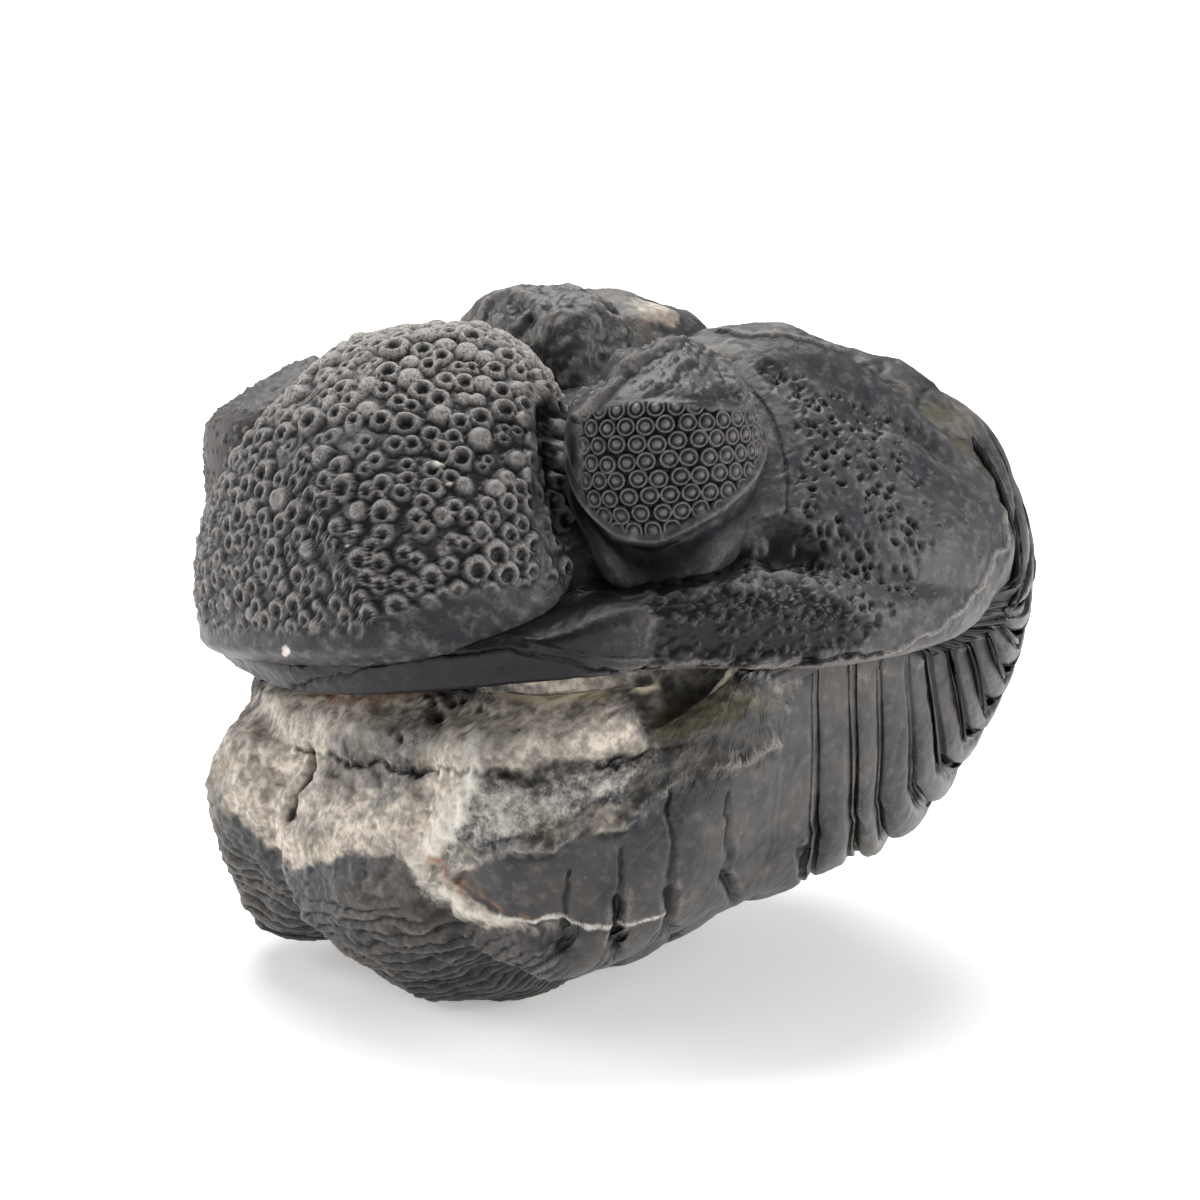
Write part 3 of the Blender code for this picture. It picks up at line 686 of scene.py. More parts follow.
    def surface(self, number: Array, across: Array, ribbed: float = 1.0) -> Array:
        """Point of the coil at groove number `number` and signed half-width fraction `across`.

        Radius and height are the profile's radius times the girth at that angle, raised by the axial
        vault and the bars, and turned round the X axis on two slanting half-axes.
        """
        side, across = np.sign(across), np.abs(across)
        angle = self.angle(number, across)
        turned = np.radians(angle)
        wrapped = (angle + 180) % 360 - 180
        girth = flow(self.round_deg, self.round_girth, wrapped)
        vault = self.axial_vault * flow(self.across, self.across_vault, across)
        vault = vault * flow(self.vault_deg, self.vault_size, wrapped)
        outside = rise(.25, .45, across)
        flat = sum(depth * hump(wrapped, *place) for depth, *place in (self.worn_flat, self.tail_corner)) * outside
        neck = self.neck[0] * hump(np.mod(angle, 360), *self.neck[1:])
        tail = rise(10.5, 17, number)
        worn = 1 - self.worn_rib_loss * hump(across, .62, .3) * rise(10.4, 11.4, number)
        closing = rise(17.5, 17, number)
        rib = flow(self.across, self.across_rib, across) * self.bars(number, across)
        rib = rib * (1 - self.tail_rib_loss * tail) * worn * closing * ribbed
        fill = self.matrix_fill * hump(across, .52, .42) * rise(13.5, 16.5, number)
        upper = rise(-12, 32, wrapped) * rise(178, 150, wrapped)
        low, high = flow(self.across, self.across_low, across), flow(self.across, self.across_high, across)
        sunk = self.closing_depth * rise(18, 19.5, number) * rise(22, 20.8, number) * rise(.5, .65, across)
        extra = vault + fill - flat - sunk
        radius = ((flow(self.across, self.across_radius, across) + extra) * girth + rib) * (1 - neck)
        height = (low + (high - low) * upper + extra) * girth + rib
        x = side * flow(self.across, self.across_x, across) * flow(self.breadth_deg, self.breadth, wrapped)
        y = self.middle[0] + radius * (self.rearward[0] * np.cos(turned) + self.upward[0] * np.sin(turned))
        z = self.middle[1] + height * (self.rearward[1] * np.cos(turned) + self.upward[1] * np.sin(turned))
        return np.stack([x, y, z + self.tip_lift * rise(.78, 1, across)], -1)

    def wedge(self, numbers: Array) -> tuple[Patch, Array, Array]:
        """The patch over a run of groove numbers, with the caps that close the flanks.

        Returns:
            The patch, and the number and the signed across of each of its points.
        """
        across = np.linspace(-1, 1, self.columns)
        number, signed = np.meshgrid(numbers, across, indexing="ij")
        skin = self.surface(number, signed)
        plain = self.surface(number, signed, self.smooth_rib)
        seen = Patch(self.attitude.stand(plain), self.attitude.stand(np.array([0.0, *self.middle]))).seen(self.view)
        worn = np.maximum(seen.inside(self.facet, 7), seen.inside(self.matrix_area, 7))
        skin = skin + (plain - skin) * worn[..., None]
        loop = np.linspace(0, self.inner_end, 90)
        shares = np.array([.15, .4, .7, .97])
        caps = []
        for side in (-1, 1):
            centre = self.surface(loop, np.full_like(loop, side)).mean(axis=0)
            tip = skin[:, :1] if side < 0 else skin[:, -1:]
            order = shares[::-1] if side < 0 else shares
            caps.append(tip + (centre - tip) * order[None, :, None])
        points = np.concatenate([caps[0], skin, caps[1]], 1)
        ends = [np.repeat(a[:, :1], len(shares), 1) for a in (number, signed)]
        tails = [np.repeat(a[:, -1:], len(shares), 1) for a in (number, signed)]
        number, signed = (np.concatenate([e, a, t], 1) for e, a, t in zip(ends, (number, signed), tails))
        core = self.attitude.stand(np.array([0.0, *self.middle]))
        return Patch(self.attitude.stand(points), core), number, signed

    def build(self) -> None:
        """Make and dress every wedge, each with a few rows of its neighbours while it is dressed.

        One of those rows stays at the end, so that the next wedge overlaps it and no seam shows.
        """
        stone = StoneFinish("thorax_calcite", body=(0.062, 0.058, 0.055), blotch=0.20)
        for name, first, last, rows in self.wedges:
            step, extra = (last - first) / (rows - 1), self.overlap if first > 0 else 0
            more = self.overlap if last < self.inner_end else 0
            patch, number, _ = self.wedge(first + step * np.arange(-extra, rows + more))
            self.dress(patch, number)
            patch.crop(extra, max(more - 1, 0))
            patch.piece(name, stone)
        step = (self.front_end - self.tail_end) / (self.front_rows - 1)
        numbers = self.tail_end + step * np.arange(-self.overlap, self.front_rows)
        mouth = np.linspace(*self.mouth, self.mouth_rows)
        patch, number, _ = self.wedge(np.concatenate([numbers, mouth]))
        self.dress(patch, number)
        patch.crop(self.overlap, 0)
        patch.piece("matrix_front", StoneFinish("matrix_stone", body=(0.062, 0.056, 0.050), blotch=0.25))

    def dress(self, patch: Patch, number: Array) -> None:
        """Give a wedge its grain, its matrix and its wear, with painted shade in its cracks, slit, pits and grooves
        and between the folds of its underside.
        """
        at, seen = patch.points, patch.seen(self.view)
        near = seen.ragged(at, 5, 2.4, 17)
        fringed = seen.ragged(at, 9, 1.6, 18)
        front = rise(16.2, 17.4, number + .5 * rough(at, 5, 3, 25)) * rise(20.4, 19.6, number)
        facet, under = near.inside(self.facet, 5), near.inside(self.dark_under, 12)
        crystals = fringed.inside(self.crystals, 16)
        calm = 1 - .9 * facet
        cloud = rough(at * (1, 1, 1.6), 2.6, 5, 21)
        stone = .17 * cloud + .10 * rough(at * (1, 1, 1.4), .9, 3, 27)
        breaks = rise(-.1, .5, rough(at, 2.2, 3, 29))
        crack, slit = fringed.stroke(self.seam, 3, 5, 4, 6, 3, 5) * (.35 + .65 * breaks), near.stroke(self.slit, 4, 10)
        vein = near.stroke(self.vein, 10, 20, 26, 22, 16, 12, 8)
        tail = near.stroke(self.vein_tail, 5, 3)
        ledge = fringed.stroke(self.facet_edge, 12)
        holes = np.zeros(number.shape)
        for u, v, size in self.pits:
            holes = np.maximum(holes, seen.spot((u, v), size * 1.3, size * 1.4))
        buff = near.inside(self.buff_patch, 3) + near.inside(self.small_buff, 3)
        skin = .035 * rough(at, 1.6, 3, 3) + .02 * billow(at, .4, 9)
        nape = rise(20.6, 20.9, number) + rise(.9, .3, number)
        skin += nape * (.22 * rough(at, 2.2, 4, 35) - .1)
        grooves = sum(near.stroke(path, 3, 7, 12) for path in self.facet_grooves)
        low = under * near.inside(self.folded, 20)
        rings = low * np.abs(np.sin(math.pi * (number * 8 + .45 * cloud))) ** .7
        roll = near.inside(self.upper_roll, 16)
        matrix = np.maximum(front, near.inside(self.matrix_area, 5))
        sunken = rise(19.6, 20.0, number) * rise(21.2, 20.8, number)
        height = skin + stone * matrix * calm - .30 * crack * front - .6 * slit - .55 * holes - .45 * front
        notches = sum(near.stroke(path, 9) for path in self.notches)
        height += 1.15 * roll - 1.4 * sunken - .3 * rise(9.5, 8, number) - .35 * notches
        height += .16 * vein * (1 + .6 * cloud) + .06 * tail + .30 * ledge * (1 + cloud) + .10 * buff
        height += .12 * crystals * billow(at, .5, 33) - .20 * grooves + .30 * rings
        patch.raise_by(height)
        dim = near.inside(self.dim_area, 18)
        self.colour(patch, matrix * np.clip(1 - facet - .9 * under - .72 * dim, 0, 1), nape, near)
        mottled = np.clip(.5 + .9 * rough(at, .8, 3, 37), 0, 1)
        patch.clear(Mark.TAN, crystals)
        patch.add(Mark.BUFF, buff)
        patch.add(Mark.WHITE, vein * (.55 + .45 * mottled) + .8 * tail + .62 * crystals * (.55 + .5 * mottled))
        rusty = fringed.stroke(self.rust_band, 10) + fringed.stroke(self.vein_rust, 8, 5, 4) * mottled
        patch.add(Mark.RUST, .8 * rusty)
        # Painted shade in the seam crack, the slit, the pits, the facet grooves and between the folds underneath.
        patch.add(Mark.SHADE, .55 * crack * front + .8 * slit + .9 * holes + .12 * grooves + .5 * low * (1 - rings))
        # Dusting, partly painted highlight, along the ledge.
        patch.add(Mark.DUST_AND_HIGHLIGHT, .5 * ledge * mottled)
        patch.clear(Mark.DUST_AND_HIGHLIGHT, facet * .6)
        cuts = np.clip(crack + slit + holes, 0, 1)
        # Lightens the raised edges, dusting mixed with painted highlight, and paints shade into the hollows.
        patch.brighten_edges_and_shade_hollows(.14, .12)
        patch.clear(Mark.SHADE, .55 * matrix * calm * (1 - under) * (1 - cuts))

    def colour(self, patch: Patch, plain: Array, nape: Array, near: Seen) -> None:
        """Lay the tan and olive of the matrix over the front, in drifts."""
        at = patch.points
        drift = rough(at, 5, 4, 41)
        patch.add(Mark.TAN, np.clip(.62 + .45 * drift, 0, 1) * plain)
        patch.add(Mark.TAN, .85 * near.stroke(self.bright_tan, 26, 22, 18))
        patch.add(Mark.TAN, .85 * near.stroke(self.under_head, 20) * plain)
        patch.add(Mark.OLIVE, .5 * rise(.1, .7, rough(at, 3.4, 3, 43)) * plain)
        patch.add(Mark.OLIVE, .8 * near.inside(self.olive_patch, 8))
        patch.add(Mark.OLIVE, .7 * near.stroke(self.far_edge, 14) * rise(-.4, .4, drift))
        patch.add(Mark.OLIVE, .55 * nape * rise(-.2, .5, drift))
        orange = near.spot(self.orange_spot, 46, 26, 20)
        patch.add(Mark.TAN, orange)
        patch.add(Mark.RUST, .5 * orange * rise(-.2, .6, drift))


@dataclass(frozen=True)
class HeadShield:
    """The cheeks and the border of the head, one half to each side of the middle.

    Stations along run from the middle of the front (0) to the genal angle (1), and upward from the
    margin (0) to the rear edge (1).
    """

    attitude: Attitude
    view: Viewpoint
    half_width: float = 24.3
    reach: float = 23.4
    middle_y: float = -0.5
    genal_deg: float = 112.0
    rim_inset: float = 1.8
    border_furrow_depth: float = 1.4
    rear_furrow_depth: float = .6
    core: tuple = (0.0, -4.0, 4.0)
    margin_at: tuple = (-1, -.8, -.6, -.45, -.27, -.13, 0, .45, .7, .85, .94, 1)
    margin_z: tuple = (.5, -.6, -.8, -.5, -.3, -1.2, -2.0, -1.1, -1.8, -1.55, -.95, -.1)
    rear_at: tuple = (0, .25, .5, .6, .7, .78, .85, .9, .96, 1)
    rear_x: tuple = (0, 6.5, 13, 15.5, 17.6, 19.4, 21.2, 22.2, 23.3, 23.0)
    rear_y: tuple = (-5, -4.4, .3, 2.7, 4.4, 6.6, 8.1, 9.1, 9.9, 9.6)
    rear_z: tuple = (15.5, 15.6, 16.7, 15.8, 13.7, 11.2, 8.8, 6.9, 3.3, 1.2)
    bulge_at: tuple = (0, .3, .45, .6, .8, 1)
    bulge: tuple = (3.0, 2.0, 1.1, 1.5, 1.7, 0)
    furrow: tuple = (.3, .8, 1.0, .6, .12, 0)
    rim_crest: tuple = (.06, .09, .16, .15, .13, .12)
    rim_swell: tuple = (1.7, 1.7, 2.0, 1.2, .5, 0)
    suture: tuple = ((748, 388), (762, 402), (772, 418), (780, 440), (786, 465), (788, 485), (786, 510))
    rear_furrow: tuple = ((765, 372), (790, 385), (820, 397), (850, 408), (880, 422))
    gouged: tuple = ((795, 385), (850, 405), (900, 440), (928, 510), (918, 590), (870, 632), (830, 600), (800, 560),
                     (792, 490), (800, 430))
    hollow: tuple = ((765, 522), (785, 515), (812, 545), (818, 568), (770, 568), (760, 545))
    ledge: tuple = ((652, 594), (700, 586), (740, 583), (775, 579), (802, 570))
    rugose: tuple = ((652, 600), (700, 593), (800, 583), (850, 600), (872, 632), (840, 656), (760, 662), (652, 662))
    eye_moat: tuple = ((566, 440), (572, 490), (585, 540), (610, 570), (650, 583), (700, 576), (735, 556))
    rim_line: tuple = ((285, 688), (321, 681), (387, 667), (439, 653), (487, 648), (528, 653), (560, 662),
                       (600, 668), (642, 669), (700, 668), (757, 671), (800, 668), (840, 660), (880, 650))
    genal: tuple = ((860, 440), (930, 440), (990, 500), (1005, 560), (970, 615), (900, 645), (850, 655), (930, 560),
                    (920, 500))
    border_line: tuple = ((722, 331), (775, 334), (805, 341), (862, 352), (915, 378), (960, 418), (985, 460),
                          (1003, 500), (1005, 545), (982, 590), (940, 625), (905, 646), (878, 652))
    fine_lines: tuple = (((300, 668), (360, 664), (430, 650), (500, 636), (540, 640)),
                         ((520, 640), (580, 652), (640, 658), (720, 662), (800, 660)),
                         ((560, 600), (600, 590), (648, 596)))
    streak_groove_zone: tuple = ((650, 560), (720, 548), (770, 560), (800, 590), (720, 600), (650, 600))
    rows: int = 250
    columns: int = 380

    def margin(self, along: Array) -> Array:
        """Lower edge of the head shield: an oval seen from above, at a height that wanders a little."""
        turn = np.radians(self.genal_deg * along)
        x, y = self.half_width * np.sin(turn), self.middle_y - self.reach * np.cos(turn)
        return np.stack([x, y, flow(self.margin_at, self.margin_z, along)], -1)

    def rear(self, along: Array) -> Array:
        """Rear edge of the head shield."""
        away = np.abs(along)
        x = np.sign(along) * flow(self.rear_at, self.rear_x, away)
        return np.stack([x, flow(self.rear_at, self.rear_y, away), flow(self.rear_at, self.rear_z, away)], -1)

    def outward(self, along: Array) -> Array:
        """Unit vector out of the cheek."""
        away = np.abs(along)
        x = np.sign(along) * flow((0, .4, .8, 1), (0, .75, .95, .8), away)
        y = -flow((0, .4, .8, 1), (1, .6, .15, .1), away)
        out = np.stack([x, y, np.full_like(x, .25)], -1)
        return out / np.linalg.norm(out, axis=-1, keepdims=True)

    def surface(self, along: Array, upward: Array) -> Array:
        """Point of the cheek: straight from margin to rear edge, bulged out, with rim and furrows."""
        away = np.abs(along)
        low, high = self.margin(along), self.rear(along)
        bulge = flow(self.bulge_at, self.bulge, away) * 4 * upward * (1 - upward)
        crest = flow(self.bulge_at, self.rim_crest, away)
        rim = flow(self.bulge_at, self.rim_swell, away) * hump(upward, crest, crest + .02)
        furrow = self.border_furrow_depth * flow(self.bulge_at, self.furrow, away) * hump(upward, crest + .17, .12)
        rear_furrow = self.rear_furrow_depth * hump(upward, .86, .09) * rise(.5, .66, away) * rise(.92, .78, away)
        lift = bulge + rim - furrow - rear_furrow
        return low + (high - low) * upward[..., None] + self.outward(along) * lift[..., None]

    def build(self) -> None:
        """Make and dress both cheeks."""
        for side in Side:
            along, upward = np.meshgrid(np.linspace(0, side.value, self.columns), np.linspace(0, 1, self.rows))
            under = self.margin(along[:1])
            rows = []
            for share in (1.0, .6, .25):
                row = under.copy()
                row[..., :2] *= 1 - share * self.rim_inset / self.reach
                row[..., 2] += .15 * share - .25 * math.sin(math.pi * share)
                rows.append(row)
            points = np.concatenate([*rows, self.surface(along, upward)])
            along = np.concatenate([along[:1]] * 3 + [along])
            upward = np.concatenate([upward[:1]] * 3 + [upward])
            core = self.attitude.stand(np.array(self.core))
            patch, mirror = (Patch(self.attitude.stand(points * (way, 1, 1)), core) for way in (1, -1))
            seen = patch.seen(self.view) if side is Side.LEFT else patch.seen_or_mirrored(mirror, self.view)
            self.dress(patch, along, upward, seen)
            patch.piece(f"{side.name.lower()}_cheek", StoneFinish("head_calcite"))

    def dress(self, patch: Patch, along: Array, upward: Array, seen: Seen) -> None:
        """Give a cheek its pits, ledges and wear, with painted shade in its hollows, grooves and rugose band and on
        its low front rim, and painted highlight mixed into the dusting of its ridges.
        """
        at = patch.points
        near, torn = seen.ragged(at, 6, 2.2, 45), seen.ragged(at, 9, 1.3, 46)
        away = np.abs(along)
        drift = np.stack([rough(at, .9, 2, seed) for seed in (91, 93, 95)], -1)
        gouge, lot = pocks(at * (1.5, 1.5, .75) + .22 * drift, .80, 47)
        cut = hump(gouge, 0, .62) * rise(.10, .35, lot)
        gouges = cut * np.maximum(torn.inside(self.gouged, 22), .8 * torn.stroke(self.rear_furrow, 16, 22, 14))
        hollow, moat = torn.inside(self.hollow, 14), near.stroke(self.eye_moat, 22, 30, 36, 34, 22)
        rugose = torn.inside(self.rugose, 10)
        granule, granule_lot = pocks(at * (1.1, 1.1, .9), .60, 53)
        grain = hump(granule, 0, .7) * (.4 + .6 * granule_lot)
        dots, dot_lot = pocks(at, .9, 57)
        dot = hump(dots, 0, .20) * (dot_lot > .3) * seen.inside(self.genal, 14)
        ledge = torn.stroke(self.ledge, 8)
        streak_grooves = rise(.0, .7, billow(at * (1, 1, .35), .55, 55)) * torn.inside(self.streak_groove_zone, 10)
        line = near.ragged(at, 2, .8, 59).stroke(self.rim_line, 3)
        edge = near.stroke(self.border_line, 3.5)
        lines = sum(near.stroke(path, 2.5) for path in self.fine_lines)
        suture, furrow = seen.stroke(self.suture, 3), near.stroke(self.rear_furrow, 12, 18, 12)
        height = .04 * rough(at, 1.6, 3, 31) + .02 * billow(at, .4, 39)
        height += -.38 * gouges - .5 * hollow - .42 * moat - .25 * line - .12 * suture - .25 * furrow - .08 * dot
        height += .22 * ledge + rugose * (.42 * grain - .42) + .14 * edge + .12 * lines - .22 * streak_grooves
        patch.raise_by(height)
        # Painted shade in the gouges, hollow, moat, grooves, rugose band and streak grooves, and on the low front rim.
        patch.add(Mark.SHADE, .75 * gouges + .95 * hollow + .95 * moat + .6 * line + .5 * suture + .5 * dot)
        patch.add(Mark.SHADE, rugose * (1 - .6 * grain) + .6 * furrow + .6 * streak_grooves)
        patch.add(Mark.SHADE, rise(.46, .34, away) * rise(.5, .3, upward))
        # Dusting mixed with painted highlight along the ledge, the rear border and the fine lines.
        patch.add(Mark.DUST_AND_HIGHLIGHT, .5 * ledge + .75 * edge + .55 * lines)
        # Lightens the raised edges, dusting mixed with painted highlight, and paints shade into the hollows.
        patch.brighten_edges_and_shade_hollows(.10, .10, .4)
        patch.clear(Mark.DUST_AND_HIGHLIGHT, .9 * rise(.42, .30, away) + .8 * (hollow + moat) + .5 * rugose)


@dataclass(frozen=True)
class Glabella:
    """The swollen lobe between the eyes, set with tubercles."""

    attitude: Attitude
    view: Viewpoint
    middle: tuple = (0.0, -15.8, 1.0)
    half_width: float = 13.2
    front: float = 11.4
    rear: float = 12.0
    foot: float = 2.4
    squareness: float = 0.74
    crown_squareness: float = 0.94
    plan_squareness: float = 0.85
    shoulder: tuple = (.604, -.396, .692)
    shoulder_limit: float = 13.6
    shoulder_press: float = 0.6
    crown_y: tuple = (-28, -26, -20, -14, -8, -3)
    crown_z: tuple = (12.4, 13.4, 15.6, 17.0, 17.7, 17.0)
    taper_y: tuple = (-28, -17, -10, -5, -3)
    taper: tuple = (.96, 1.0, .82, .62, .55)
    tubercles: int = 1020
    mound_height: float = .70
    pit_depth: float = .62
    crease_depth: float = .16
    sunk: float = .30
    reach_deg: float = 118.0
    smooth_band: tuple = ((536, 384), (538, 430), (540, 500), (545, 575), (520, 625))
    axial_furrow: tuple = ((549, 413), (554, 450), (560, 490), (568, 530))
    chips: tuple = ((440, 463, 12, 5, -15), (382, 495, 4, 5, 0), (309, 517, 4, 6, 0), (451, 482, 5, 3, 0),
                    (416, 484, 4, 3, 0), (306, 569, 3, 4, 0), (279, 655, 6, 11, -25), (345, 545, 3, 3, 0),
                    (465, 440, 3, 4, 0), (330, 590, 3, 3, 0))
    rows: int = 305

    def surface(self, direction: Array) -> Array:
        """Map unit directions to the boxy lobe: a squared oval in plan under an arched crown.

        Both curves are read at the angle that puts the point in the given direction, so the grid stays
        even.  Last, each front shoulder is pressed towards a slanting plane.
        """
        dx, dy, dz = np.moveaxis(direction, -1, 0)
        level = np.maximum(np.hypot(dx, dy), 1e-9)
        angles = np.linspace(0, math.pi / 2, 400)
        reached = np.arctan2(np.sin(angles) ** self.squareness, np.cos(angles) ** self.crown_squareness)
        tilt = np.interp(np.arctan2(level, np.abs(dz)), reached, angles)
        ring, tall_share = np.sin(tilt) ** self.squareness, np.cos(tilt) ** self.crown_squareness
        power = 1 / self.plan_squareness
        cos, sin = (np.abs(dy) / level) ** power, (np.abs(dx) / level) ** power
        length = np.hypot(cos, sin) ** self.plan_squareness
        cos, sin = -dy / level / length, dx / level / length
        y = self.middle[1] - np.where(cos > 0, self.front, self.rear) * ring * cos
        x = self.half_width * flow(self.taper_y, self.taper, y) * ring * sin
        tall = np.where(dz > 0, flow(self.crown_y, self.crown_z, y), self.foot)
        points = np.stack([x, y, self.middle[2] + tall * np.sign(dz) * tall_share], -1)
        for side in Side:
            press = np.array([side.value * self.shoulder[0], *self.shoulder[1:]])
            over = np.maximum((points - np.array(self.middle)) @ press - self.shoulder_limit, 0)
            points = points - self.shoulder_press * over[..., None] * press
        return points

    def directions(self) -> Array:
        """A square grid of directions round an axis that points up and forward.

        The square is first made a disc whose rings are squares, and the disc is wrapped round the ball.
        """
        a, b = np.meshgrid(np.linspace(-1, 1, self.rows), np.linspace(-1, 1, self.rows), indexing="ij")
        a, b = a + 1e-7, b + 2e-7
        wide = np.abs(a) > np.abs(b)
        radius = np.where(wide, a, b)
        turn = np.where(wide, math.pi / 4 * b / a, math.pi / 2 - math.pi / 4 * a / b)
        tilt = np.abs(radius) * math.radians(self.reach_deg)
        turn = turn + np.where(radius < 0, math.pi, 0)
        local = np.stack([np.sin(tilt) * np.cos(turn), np.sin(tilt) * np.sin(turn), np.cos(tilt)], -1)
        axis = Vector((0, -.62, .78)).to_track_quat("Z", "Y").to_matrix()
        return local @ np.array(axis).T

    def seats(self) -> Array:
        """Directions of the tubercles: a golden-angle spiral, closer together towards the foot."""
        dice = np.random.default_rng(5)
        share = (np.arange(self.tubercles) + .5) / self.tubercles
        dz = 1 - 1.22 * share ** .88
        turn = np.arange(self.tubercles) * math.pi * (3 - math.sqrt(5))
        level = np.sqrt(1 - dz ** 2)
        seats = np.stack([level * np.cos(turn), level * np.sin(turn), dz], -1)
        seats += dice.normal(0, .014, seats.shape)
        return seats / np.linalg.norm(seats, axis=-1, keepdims=True)

    def build(self) -> None:
        """Make and dress the lobe."""
        core = self.attitude.stand(np.array([0.0, -13.0, 3.0]))
        patch = Patch(self.attitude.stand(self.surface(self.directions())), core)
        self.dress(patch)
        # A paler colour here, for the painted highlight on the top of the lobe as well as its dusting.
        patch.piece("glabella", StoneFinish("glabella_calcite", bloom_and_highlight=(0.390, 0.362, 0.335)))

    def dress(self, patch: Patch) -> None:
        """Raise the tubercles and hollow some of them, with painted shade in the pits, creases, furrow and low band
        and painted highlight on the rims and the top, then lighten the edges and shade the hollows of the whole.
        """
        at, seen = patch.points, patch.seen(self.view)
        near = seen.ragged(at, 3, 2, 63)
        seats = self.attitude.stand(self.surface(self.seats()))
        _, spacing, _ = nearest_two(seats, seats)
        close, after, number = nearest_two(at, seats)
        dice = np.random.default_rng(8)
        size = (.5 * spacing * dice.uniform(1.12, 1.40, len(seats)))[number]
        lot = dice.random(len(seats))[number]
        own = (at - np.array(self.attitude.place)) @ self.attitude.turn()
        mound = np.clip(1 - (close / (size * 1.12)) ** 2, 0, 1) ** .7
        crease = rise(.26, 0, (after - close) / size)
        down = at - seats[number] + np.array([0, 0, 1]) * (.20 * size)[..., None]
        open_share = .08 + .24 * rise(11, 16, own[..., 2])
        pit = rise(.64, .34, np.linalg.norm(down, axis=-1) / size) * rise(0, .1, lot - open_share)
        crown = rise(11.5, 16, own[..., 2])
        lift = size * (self.mound_height * mound - self.pit_depth * pit - self.crease_depth * crease) - self.sunk
        floor = 1.2 + 2.0 * rise(6, 12, np.abs(own[..., 0]))
        smooth = near.stroke(self.smooth_band, 12)
        zone = rise(0, 1.2, own[..., 2] - floor) * (1 - smooth) * rise(-3.2, -4.6, own[..., 1])
        furrow = near.stroke(self.axial_furrow, 17)
        patch.raise_by(lift * zone - .3 * (1 - zone) + .03 * rough(at, 1.2, 3, 61) - .8 * furrow)
        # Painted shade in the pits, between the tubercles, in the axial furrow and over the low smooth band.
        patch.add(Mark.SHADE, zone * (pit + .75 * crease * (1 - mound)) + furrow)
        patch.add(Mark.SHADE, .35 * (1 - zone) * (1 - smooth))
        # Painted highlight on the rims of the tubercles and over the top of the lobe, on the dusting mark.
        patch.add(Mark.DUST_AND_HIGHLIGHT, (.45 + .4 * crown) * zone * hump(close / size, .62, .24) * (1 - pit))
        patch.add(Mark.DUST_AND_HIGHLIGHT, .75 * crown * (1 - pit) * (1 - furrow))
        # Lightens the raised edges, dusting mixed with painted highlight, and paints shade into the hollows.
        patch.brighten_edges_and_shade_hollows(.12, .10, .30)
        for u, v, wide, tall, turn in self.chips:
            chip = near.spot((u, v), wide, tall, turn)
            patch.clear(Mark.SHADE, chip)
            patch.add(Mark.WHITE, .9 * rise(.1, .5, chip))


